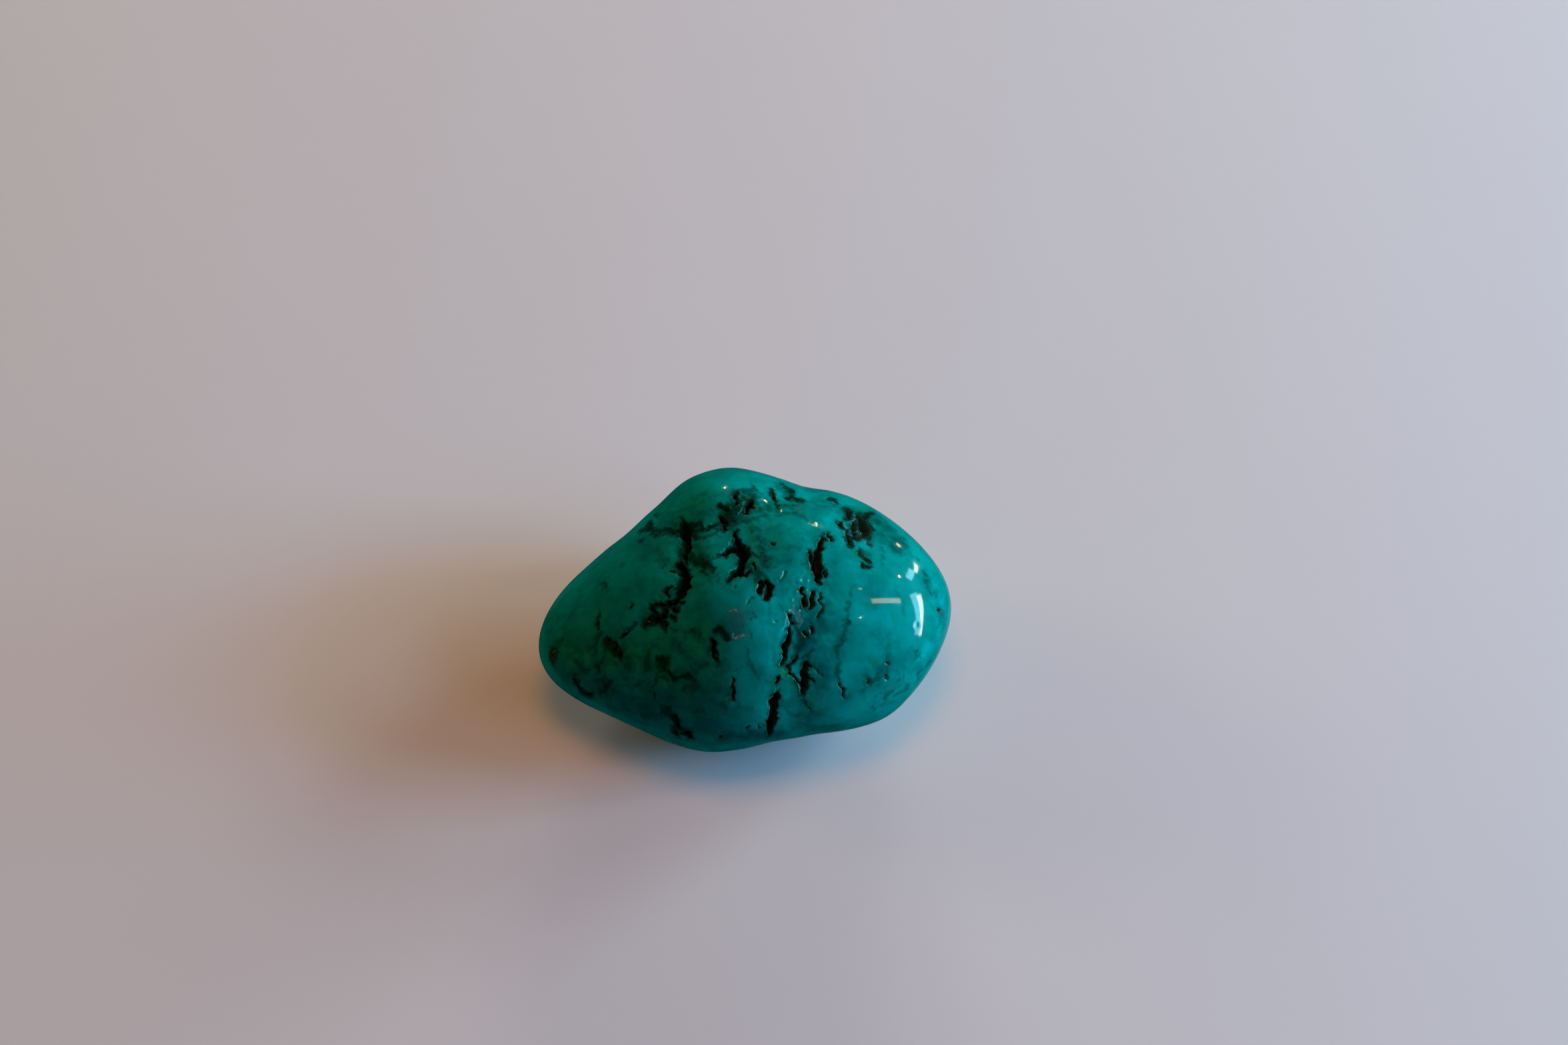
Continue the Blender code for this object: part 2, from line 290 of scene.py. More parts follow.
FACE_PITS = marks(Kind.PIT, {
    "west_crevice": (1.92, (-12.3, 18.1, 0.41), (-11.9, 16.8, 1.74), (-11.8, 15, 1.66),
        (-11.8, 13.6, 1.49), (-11.7, 12.2, 1.08), (-11.8, 9.7, 0.5)),
    "west_crevice_left": (1.44, (-13.1, 15.9, 0.58), (-12, 15.6, 0.99)),
    "west_crevice_right": (1.44, (-10.5, 16.2, 0.67), (-11.4, 15.8, 0.99)),
    "west_hole_head": (1.92, (-13.5, 9.3, 0.91), (-12.7, 8.5, 1.16), (-12.1, 7.6, 1.57)),
    "west_hole": (2.4, (-12.1, 7.7, 1.34), (-11.6, 6.6, 1.57), (-12.3, 4.9, 1.94),
        (-12.9, 3.3, 1.57), (-13.7, 2.2, 1.04), (-14.5, 1.3, 0.6)),
    "middle_crevice": (1.76, (-1.7, 15.5, 0.33), (-1.3, 13.9, 0.83), (-0.6, 12.2, 1.66),
        (0.1, 10.7, 1.74), (-0.4, 9.4, 1.32), (-0.8, 8.2, 1.49), (-0.9, 6.9, 0.67)),
    "middle_wing": (1.44, (-0.9, 12.6, 1.49), (-2.2, 12, 1.57), (-3.6, 11.2, 1.08),
        (-4.9, 10.9, 0.41)),
    "middle_hook": (0.8, (-0.9, 6.8, 0.5), (0.2, 6.8, 0.41), (1.3, 7.6, 0.41)),
    "middle_chip": (1.04, (-1.3, 7.8, 0.99), (-1.9, 7, 0.91), (-2.8, 6.1, 0.67)),
    "middle_east_chip": (0.83, (2, 9.4, 0.39), (2.4, 8.4, 0.45)),
    "north_pit": (1.53, (0.4, 21.3, 1.06), (1.5, 21.3, 1.2)),
    "north_pit_foot": (0.98, (0.6, 20.9, 0.67), (0.1, 19.3, 0.5)),
    "east_crevice": (1.6, (15.7, 14, 0.58), (14.9, 12.7, 0.91), (14.6, 11.3, 1.32),
        (14.4, 9.8, 1.24), (14.6, 8.2, 1.66), (15, 7, 1.24), (15.4, 5.7, 0.41)),
    "east_crevice_side": (1.02, (12.8, 11.8, 0.3), (13.1, 10.2, 0.81), (13.8, 9.2, 0.88)),
    "east_crevice_tail": (0.68, (16, 7.9, 0.37), (16.5, 6.7, 0.44)),
    "east_crevice_head": (0.77, (16.7, 15.2, 0.51), (17.4, 14.2, 0.59)),
    "twin_pit_left": (1.27, (11.6, 4.4, 0.38), (12.1, 2.8, 0.56), (12.1, 1.1, 0.5)),
    "twin_pit_right": (1.36, (14.3, 3.9, 0.41), (13.9, 2, 0.91), (13.6, 0.5, 0.5)),
    "centre_pit_left": (1.36, (3.1, 5.4, 0.81), (3.3, 3.5, 0.81)),
    "centre_pit_right": (1.36, (4.5, 5.5, 0.81), (5.1, 4.4, 1.03), (5.1, 3.2, 0.96),
        (4.3, 2.6, 0.67)),
    "seam_head": (0.5, (8.2, 0, 0.21), (9.2, -1.8, 0.26), (9.8, -2.9, 0.52), (9.2, -3.8, 0.36)),
    "main_seam": (1.76, (9.2, -3.8, 0.44), (9, -5.3, 0.63), (8.6, -6.9, 1.08), (8.3, -8.1, 0.89),
        (8, -9.3, 0.51), (7.7, -10.7, 0.38)),
    "star_pit": (1.76, (12.7, -10.6, 0.54), (12.1, -12.2, 1.07), (12.5, -13.4, 1.48),
        (12, -15, 0.87), (12.1, -17, 0.33)),
    "star_arm": (0.7, (12.6, -13.5, 1.34), (14.1, -14.3, 0.37)),
    "star_tip": (0.96, (12.4, -10.8, 0.58), (13.5, -11.4, 0.33)),
    "south_seam": (2.08, (6.8, -16.6, 0.58), (6.1, -17.9, 1.49), (5.9, -19.8, 1.32),
        (5.5, -21.7, 1.24), (5.2, -23.2, 1.16), (4.9, -24.4, 0.67)),
    "dark_slit": (1.19, (-6.3, -6, 0.81), (-6, -7.8, 0.96), (-5.5, -9.7, 0.44)),
    "hole_flap": (0.9, (-14.9, 4.5, 0.3), (-15.7, 3.6, 0.5), (-15.2, 2.7, 0.33)),
    "small_north_pit": (0.75, (5.5, 13.2, 0.39), (5.7, 12.9, 0.56)),
    "hollow_foot": (0.75, (24.6, 13.6, 0.5), (25.3, 13.2, 0.61)),
    "thin_east_line": (0.6, (15.6, 3.2, 0.3), (15.8, 0.4, 0.3), (15.1, -1.3, 0.39)),
    "paired_pit": (0.75, (12.3, -4.6, 0.45), (13.1, -5.3, 0.33)),
    "paired_pit_east": (0.83, (13.8, -3.7, 0.45), (13.9, -4.7, 0.56)),
    "small_south_pit": (0.75, (6.7, -13.3, 0.3), (6.8, -14.6, 0.45)),
    "south_slit": (0.75, (-2, -13.6, 0.3), (-2, -15.4, 0.45), (-2.2, -16.4, 0.5),
        (-2.3, -17.3, 0.3)),
    "east_spot_a": (0.45, (24.5, -13.7, 0.45), (24.4, -14.4, 0.45)),
    "east_spot_b": (0.6, (28.2, -13.1, 0.3), (28.1, -13.7, 0.5)),
    "east_spot_c": (0.52, (28, -10.4, 0.5), (28.5, -10.9, 0.39)),
    "east_slit": (0.52, (18.6, -14.1, 0.3), (19.4, -15.5, 0.39), (19.9, -17, 0.33)),
    "far_east_pit": (0.68, (38.7, 0.3, 0.33), (39.2, -0.6, 0.45)),
    "speck_a": (0.38, (0.4, -22.7, 0.3), (0.4, -23.1, 0.33)),
    "speck_b": (0.38, (2.8, -22.8, 0.3), (3, -23.4, 0.33)),
    "speck_c": (0.45, (-4.9, -24.9, 0.5), (-4.2, -25, 0.33)),
    "west_slit": (0.68, (-28.7, -1.3, 0.3), (-28.6, -2.5, 0.56), (-28.8, -3.4, 0.39)),
    "west_slit_small": (0.45, (-22.4, 1.5, 0.3), (-22.6, 0.6, 0.3)),
    "smudge_pit": (0.6, (-22.9, -3.8, 0.39), (-23.6, -4.6, 0.61), (-24.4, -5.5, 0.3)),
    "lower_chip": (0.52, (-17.5, -16.3, 0.33), (-17.6, -17.5, 0.45)),
    "nub": (0.6, (-14.5, 7.8, 0.3), (-14, 8, 0.33)),
})

FACE_CRUMBS = marks(Kind.CRUMB, {
    "south_pits": (0.9, (-13.8, -21.2, 0.48), (-12.7, -22.7, 0.78)),
    "south_pits_low": (0.9, (-11.7, -23.9, 0.54), (-10.6, -24.8, 0.84)),
    "south_pits_west": (0.6, (-13.6, -23.6, 0.5), (-13.2, -24.3, 0.6)),
    "curve_head": (0.6, (-33.3, -13.6, 0.36), (-32.8, -14.9, 0.48)),
    "curve_foot": (0.6, (-31.2, -16.5, 0.42), (-30.4, -16.7, 0.54)),
    "ledge_top": (1.08, (-17.6, 1.3, 0.67), (-16.5, 1.2, 0.67)),
    "ledge_cells": (1.26, (-15.4, 1.2, 0.83), (-15.7, -0.4, 0.83)),
    "ledge_west": (1.35, (-18.4, 0.3, 0.85), (-17.9, -0.7, 0.98), (-19.1, -1.8, 1.11),
        (-20, -2.9, 0.59)),
    "ledge_floor": (0.99, (-18.9, -2.2, 1.05), (-17, -1.6, 1.17), (-15.8, -0.8, 0.91)),
    "ledge_foot": (0.81, (-17.2, -2.3, 0.78), (-16.1, -2.8, 0.87), (-15.5, -3.7, 0.52)),
    "ledge_east": (0.9, (-14, 0.5, 0.75), (-13.6, 0, 0.6)),
    "ledge_dots": (0.72, (-12.6, 1.6, 0.57), (-12.3, 1.6, 0.57)),
    "ledge_spur": (0.81, (-14.6, -1.2, 0.66), (-13.7, -1.3, 0.66)),
    "north_crumbs": (0.9, (-1.5, 23, 0.9), (-1.9, 21.8, 0.9), (-2.3, 21.1, 0.66)),
    "north_west_crumbs": (0.9, (-4.6, 20.7, 0.43), (-3.4, 20.2, 0.53)),
    "north_west_ash": (1.08, (-4.9, 18.6, 0.53), (-4.3, 17.8, 1.06), (-3.8, 16.6, 0.82)),
    "north_rim_chip": (1.08, (5.5, 23.5, 0.54), (6.1, 22.5, 0.5)),
    "hollow_north": (1.5, (20.6, 20.2, 0.8), (21.1, 19.4, 0.8), (20.9, 18.5, 0.46)),
    "hollow_west": (1.35, (19.1, 17.7, 0.42), (19.7, 16.9, 0.58), (20.3, 15.6, 0.54),
        (20.8, 14.3, 0.65), (21.5, 13.2, 0.31)),
    "hollow_heart": (1.62, (22.9, 18.8, 0.61), (23.4, 17.5, 0.99), (24, 16.4, 1.09),
        (24.5, 15.4, 1.04)),
    "hollow_middle": (1.17, (22, 17.4, 0.68), (22.2, 15.6, 0.91), (22.4, 14.5, 0.68)),
    "hollow_floor": (1.26, (20.9, 14.4, 0.66), (22.8, 14.6, 0.72), (24.2, 14.7, 0.72)),
    "east_chip": (0.81, (23.2, 11.5, 0.24), (23.8, 10.4, 0.27), (24.9, 9.7, 0.33)),
    "east_chip_foot": (0.81, (23.2, 9, 0.27), (24.3, 8.6, 0.35)),
    "seam_branch": (0.96, (10.9, -9.3, 0.31), (10, -10.3, 0.46), (9.2, -10.9, 0.51),
        (9.3, -12.6, 0.46), (10.1, -13.7, 0.31)),
    "seam_twig": (0.72, (10.1, -13.7, 0.36), (11, -14.6, 0.36), (11.8, -16.4, 0.36)),
    "west_pit": (0.88, (-26.9, -6.2, 1.2), (-25.8, -7.3, 1.44), (-24.5, -8.5, 1.36)),
    "nose_crack": (0.72, (-37.4, -7.7, 0.7), (-38, -9.8, 0.7), (-37.5, -11.6, 0.56)),
})

FACE_NICKS = marks(Kind.NICK, {
    "pit_rim_glint": (0.2, (-0.2, 23.3, 0.4), (0.8, 22.9, 0.4), (1.7, 22.3, 0.4)),
    "middle_glint": (0.3, (8.2, 7.5, 0.4), (7.4, 6, 0.5)),
    "centre_glint": (0.3, (0.9, 1.9, 0.5), (1.3, 2.2, 0.5)),
    "seam_glint": (0.26, (6.1, -2.2, 0.5), (6.7, -2, 0.5)),
    "rub_glint": (0.22, (0.8, -2.1, 0.4), (1.1, -2, 0.4)),
    "left_glint": (0.22, (-2.2, 4.5, 0.4), (-1.8, 4.7, 0.4)),
    "ledge_glint": (0.34, (-17.2, 2.9, 0.5), (-16.7, 2.3, 0.6)),
    "ledge_arc": (0.3, (-18.4, 1.9, 0.4), (-17.4, 1.8, 0.5)),
    "ledge_west_glint": (0.3, (-19.2, 1.1, 0.5), (-18.8, 0.7, 0.5)),
    "ledge_low_glint": (0.3, (-20, -0.8, 0.4), (-20.5, -2, 0.4)),
    "rust_glint": (0.26, (-0.6, 19.4, 0.4), (-0.1, 19, 0.4)),
    "flake_glint": (0.24, (3, 11.2, 0.4), (3.6, 11.3, 0.4)),
    "star_groove": (0.22, (13.4, -11.4, 0.4), (14.4, -12.3, 0.5), (15.4, -13.2, 0.4)),
    "star_foot_groove": (0.15, (12.2, -19.3, 0.4), (13, -20.3, 0.5)),
    "east_thin_a": (0.05, (24.5, 6.4, 0.4), (26, 6.6, 0.4)),
    "east_thin_b": (0.05, (26.8, 6.7, 0.4), (28.2, 6.9, 0.4)),
    "highlight_ring": (0.1, (34.1, -2.9, 0.7), (34.2, -3.1, 0.7)),
})

FACE_STAINS = marks(Kind.STAIN, {
    "rim_branch": (1, (23.8, 18.2, 0.8), (25.2, 19.2, 0.8), (26.4, 19.4, 0.6)),
    "rim_branch_tip": (0.8, (25.2, 19.2, 0.6), (24.9, 20.1, 0.4)),
    "north_east_nick": (0.9, (17.4, 22.7, 0.64), (18.4, 21.9, 0.55)),
    "north_streak": (0.9, (6.6, 25.5, 0.37), (7.7, 25.2, 0.64), (8.9, 24.4, 0.64),
        (9.8, 23.7, 0.46)),
    "north_chip_row": (0.9, (9.2, 22.6, 0.83), (10.3, 22.5, 0.92), (11.7, 22.1, 0.74)),
    "north_rim_tail": (0.9, (5.7, 22, 0.46), (6.9, 21.1, 0.55)),
    "crevice_shelf": (0.85, (-10.6, 17, 1.4), (-8.3, 17.3, 0.9), (-7.5, 16.4, 1), (-5.3, 17, 0.7)),
    "crevice_shoulder": (0.8, (-10.4, 15.6, 0.9), (-9.8, 14.8, 0.8)),
    "crevice_shadow": (0.6, (-9.9, 14.6, 0.6), (-7.7, 14.8, 0.5), (-5.2, 14.9, 0.5)),
    "crevice_left": (0.85, (-13.2, 15.9, 0.7), (-14.6, 15.6, 1.2), (-15.5, 16.3, 0.7)),
    "north_west_spots": (0.9, (-19.9, 15.8, 0.8), (-19, 15.9, 1.3), (-18.3, 16.9, 0.8)),
    "north_west_spot_b": (0.6, (-17.9, 15.4, 0.5), (-17.4, 14.8, 0.7)),
    "north_west_spot_c": (0.6, (-20.6, 13.6, 0.5), (-19.7, 13.9, 0.6)),
    "north_west_edge": (0.6, (-17.6, 19.2, 0.6), (-17.1, 18.3, 0.5)),
    "green_hollow": (0.65, (-9.4, 9.9, 2), (-8.2, 9, 2.4), (-7.2, 9.3, 1.4)),
    "green_tail": (0.7, (-7.3, 9.2, 1), (-8.1, 7.6, 1.2)),
    "green_reach": (0.45, (-7.2, 10.4, 1), (-5.2, 10.6, 0.7)),
    "hole_margin": (0.5, (-10.5, 7.2, 0.9), (-11, 5, 0.8)),
    "north_smear": (0.6, (-1.2, 23.6, 1), (0.6, 23.5, 1.2), (1.9, 24, 1)),
    "north_smoke": (0.6, (-3.4, 20, 1.4), (-2.2, 18.2, 1.8), (-0.6, 18.6, 1.4)),
    "north_smoke_low": (0.5, (-3.4, 17.2, 1.6), (-1.6, 17.3, 1.2)),
    "middle_root": (0.7, (0.9, 11.4, 0.9), (2, 11.1, 0.7)),
    "middle_east_green": (0.5, (0.9, 8.8, 1.4), (1.7, 7.4, 1.2)),
    "centre_green": (0.7, (4.3, 5.9, 1.4), (5.3, 4.8, 1.2)),
    "twin_green": (0.5, (10.4, 6, 0.6), (11.6, 5.2, 0.8)),
    "crevice_green": (0.6, (15.2, 9.4, 1.2), (16, 6.6, 1.2)),
    "seam_pool_a": (0.5, (10.5, -2.2, 1), (10.9, -4.6, 1)),
    "seam_pool_b": (0.45, (13.3, -1.5, 1.2), (14, -3.4, 1)),
    "star_root": (0.6, (13.4, -8, 0.5), (12.9, -10, 0.9), (12, -11.2, 1.2)),
    "star_foot": (0.45, (12, -17.2, 0.8), (12.6, -18.8, 1.6), (13.2, -20.2, 1)),
    "east_green": (0.4, (17.4, 14, 0.5), (18, 12.6, 0.5)),
    "nick_tail": (0.5, (18, 22.2, 0.8), (18.8, 21.5, 0.6)),
    "loop_head": (0.85, (-16.8, -9.5, 1.3), (-15.7, -9.6, 2.2), (-15.5, -10.6, 1.4),
        (-15.8, -12, 0.7)),
    "loop_west": (0.6, (-16.2, -12, 0.8), (-17.4, -13.2, 0.8), (-17.5, -14.8, 0.5)),
    "loop_floor": (0.8, (-15, -12.4, 0.8), (-13.6, -13.2, 1), (-11.6, -13, 1.1),
        (-10.4, -13.1, 0.8)),
    "west_loop": (0.6, (-27.7, -9.2, 0.5), (-28.6, -11.3, 0.9), (-28.6, -12.4, 1)),
    "west_blot": (0.75, (-26.6, -13.9, 1.4), (-27.3, -15.2, 1.3), (-28.2, -16.1, 0.7)),
    "west_tail": (0.6, (-28.4, -4, 0.5), (-28.8, -6.6, 0.6), (-29.4, -8.4, 0.8)),
    "west_line": (0.5, (-32, -10.4, 0.8), (-32.2, -12.4, 0.9)),
    "west_mottle": (0.45, (-36.5, -6.1, 1), (-35.6, -5.6, 1)),
    "nose_blot": (0.7, (-37.6, -11.1, 0.8), (-37.4, -11.7, 0.9)),
    "plate_line": (0.55, (-14.4, -3.4, 0.6), (-12, -4.4, 0.8), (-9.4, -3.8, 1.4),
        (-8.8, -5.4, 1.2)),
    "slit_shade": (0.6, (-5.5, -9.4, 0.8), (-4.9, -10.4, 1)),
    "faint_north": (0.6, (-27.2, 5.5, 0.6), (-27.2, 4.3, 0.9)),
    "south_blot": (0.75, (-15.9, -19.4, 1.3), (-14.8, -19.9, 1.2)),
    "south_pits_shade": (0.8, (-14.2, -20.8, 1.2), (-12.2, -23.2, 1.4)),
    "curve": (0.9, (-33.2, -13.6, 1), (-32.6, -15.2, 1.2), (-31.6, -16.3, 1.2),
        (-30.4, -16.7, 1.1)),
    "diagonal": (0.9, (-5.2, -3.5, 0.9), (-4, -4.6, 1.1), (-2.9, -5.6, 1)),
    "south_band": (0.4, (-19.8, -20.7, 1.2), (-17, -20.6, 1.2), (-14.5, -19.8, 1)),
    "slit_foot": (0.4, (-3, -17.4, 0.8), (-3.6, -18.6, 1)),
    "chip_vein_knot": (0.5, (23, 12, 0.6), (23.4, 11, 0.7)),
    "east_stain": (0.4, (27.2, 12.2, 0.9), (27.5, 8.8, 0.9)),
    "east_smudge": (0.4, (33.2, -7.6, 1), (34.6, -9, 1.2)),
    "east_smudge_b": (0.4, (31.2, -10.6, 0.8), (31.8, -11.4, 0.7)),
    "far_east_drip": (0.4, (38.9, -1, 0.9), (38.4, -3.2, 0.8)),
    "dot_pair": (0.5, (2, -1, 0.8), (2.3, -1.4, 0.7)),
    "rub_lines": (0.45, (0.5, 0.2, 0.4), (0.8, -0.6, 0.5)),
    "rub_line_b": (0.45, (1.2, -3.6, 0.5), (1.6, -5.3, 0.5)),
    "east_blot": (0.5, (24.2, -13.4, 1.2), (25.2, -14, 1.4)),
    "middle_blue": (0.4, (-5.3, 5.4, 0.8), (-4.7, 6.6, 0.6)),
})

FACE_SOAKED = soaked(FACE_CRUMBS, {
    "east_chip_foot": (0.9, 2.02),
    "east_chip": (0.9, 2.18),
    "hollow_west": (0.9, 1.83),
    "hollow_north": (0.95, 1.66),
    "hollow_middle": (0.9, 1.59),
    "hollow_heart": (1, 2.01),
    "curve_foot": (0.9, 1.91),
    "south_pits_low": (0.9, 1.91),
    "south_pits": (0.9, 1.91),
    "north_rim_chip": (0.9, 1.9),
    "north_west_ash": (0.9, 1.9),
    "north_west_crumbs": (0.9, 1.92),
})

FACE_VEINS = marks(Kind.VEIN, {
    "arc_vein": (0.6, (0.2, 18.2, 0.94), (3.2, 18.7, 0.81), (5.8, 19.1, 0.68), (8.2, 19.1, 0.68),
        (10.7, 19.3, 0.81), (11.6, 18.6, 1.08), (12.3, 17.8, 0.68)),
    "arc_vein_high": (0.4, (-0.4, 19.6, 1.08), (3, 20, 0.81), (8, 20.5, 0.68), (12, 20.2, 0.68)),
    "middle_vein": (0.45, (1.8, 11.1, 0.81), (3.9, 11.6, 0.81), (6.9, 12, 0.81), (9.5, 12.4, 0.81),
        (11, 12.1, 1.08)),
    "middle_vein_low": (0.35, (4.5, 8.2, 1.22), (6.8, 9.6, 1.22), (9.4, 9.4, 0.94)),
    "long_vein": (0.6, (21.7, 4.8, 0.68), (20.9, 2.4, 0.54), (20.8, -1.2, 0.81), (20, -4.4, 0.81),
        (18.7, -5.8, 1.22), (18.4, -9, 1.08), (18.5, -13, 1.22), (19.2, -15.6, 1.08)),
    "east_vein_a": (0.5, (28.9, -8.7, 0.68), (27.4, -10.8, 0.81), (26.2, -12.7, 0.94),
        (24.1, -15, 0.94), (22.6, -16.3, 0.94)),
    "east_vein_b": (0.7, (29.2, -15.6, 0.94), (27.6, -17.6, 1.08), (25.4, -19.6, 1.08)),
    "east_vein_c": (0.6, (36.6, -9.8, 0.68), (34.4, -12.4, 1.08), (32.3, -15, 0.94),
        (30, -17, 0.68)),
    "east_vein_d": (0.4, (30, 4.7, 0.68), (30.3, 3.1, 0.81), (31.2, 1.4, 0.68),
        (31.6, -1.2, 0.54)),
    "crest_vein": (0.6, (0.8, -7.6, 0.68), (0.9, -10.4, 0.81), (1.9, -12, 0.81),
        (3.2, -13.2, 0.54)),
    "slant_vein": (0.35, (5, 1.4, 0.54), (5.2, -0.6, 0.68), (5.1, -2.2, 0.54)),
    "seam_lead": (0.5, (6.8, 1.1, 0.54), (7.6, 0.5, 0.54), (8.4, -0.5, 0.54)),
    "star_line": (0.6, (13.1, -11.1, 0.41), (14.4, -12.2, 0.41), (15.5, -13.1, 0.41)),
    "star_drop": (0.45, (13.2, -10.2, 0.81), (13.5, -8.1, 0.81), (14.6, -5.6, 0.68)),
    "north_vein": (0.55, (11.6, 22, 0.68), (13.9, 21.4, 0.68), (16, 21, 0.81), (18, 20.8, 0.68)),
    "north_vein_b": (0.4, (8, 23, 0.81), (11, 21.4, 0.81), (14.2, 20.3, 1.22)),
    "small_slit_n": (0.75, (0.9, 16.7, 0.54), (1.6, 15.4, 0.81)),
    "plateau_vein": (0.35, (11.2, 13.8, 0.81), (13.6, 14.2, 0.81), (15.6, 14.3, 0.81)),
    "fleck_line": (0.4, (-7.9, 5.7, 0.68), (-5.2, 7, 0.94), (-3.7, 7.8, 0.68)),
    "rim_vein": (0.5, (29, 14.3, 0.54), (31.4, 13.8, 0.68)),
    "far_vein": (0.7, (35.3, 7.8, 0.68), (36.2, 5.2, 1.08), (36.6, 3.2, 0.81)),
    "hollow_vein": (0.45, (24.8, 13, 0.68), (26.8, 15.6, 0.81), (28.6, 16.4, 0.68)),
    "plate_vein": (0.45, (-18.5, -9.1, 0.81), (-19.6, -7.8, 0.68), (-18.5, -6.1, 0.68),
        (-15.2, -5.2, 0.68)),
    "low_vein": (0.45, (-24.4, -9.1, 0.94), (-22.4, -9.8, 0.94), (-20.2, -9.5, 0.68)),
    "west_vein": (0.6, (-20.6, -1.6, 0.81), (-21.7, -2.6, 1.08), (-22.8, -3.7, 0.94)),
    "lower_west_vein": (0.4, (-27.7, -15.9, 0.68), (-25.1, -15, 0.68), (-22, -15, 0.81)),
    "hump_vein": (0.35, (-10, 22, 0.94), (-7.1, 23.3, 0.94), (-4.1, 22.8, 0.94)),
    "hump_vein_b": (0.4, (-8.7, 19.1, 0.94), (-6.7, 20.1, 0.94), (-5, 19.6, 0.81)),
    "nw_vein": (0.4, (-20.5, 13.2, 0.68), (-17.2, 11.7, 0.94), (-15.2, 10.2, 0.68)),
    "nw_slope_vein": (0.35, (-20, 9.8, 0.94), (-16.8, 12.6, 0.94), (-14.6, 14.6, 0.81)),
    "south_vein": (0.35, (9.3, -23.9, 0.81), (12.3, -23, 1.08), (15.6, -23.2, 1.08)),
    "south_vein_b": (0.4, (7.7, -19.2, 0.68), (9.7, -21.2, 0.94), (12.7, -21.6, 0.94)),
    "bottom_vein": (0.4, (-9, -15.4, 1.08), (-4.4, -19, 1.08), (1, -19.2, 0.94)),
    "bottom_vein_b": (0.35, (-22, -17.6, 1.08), (-18, -16.8, 0.94), (-12, -17.6, 1.08)),
})

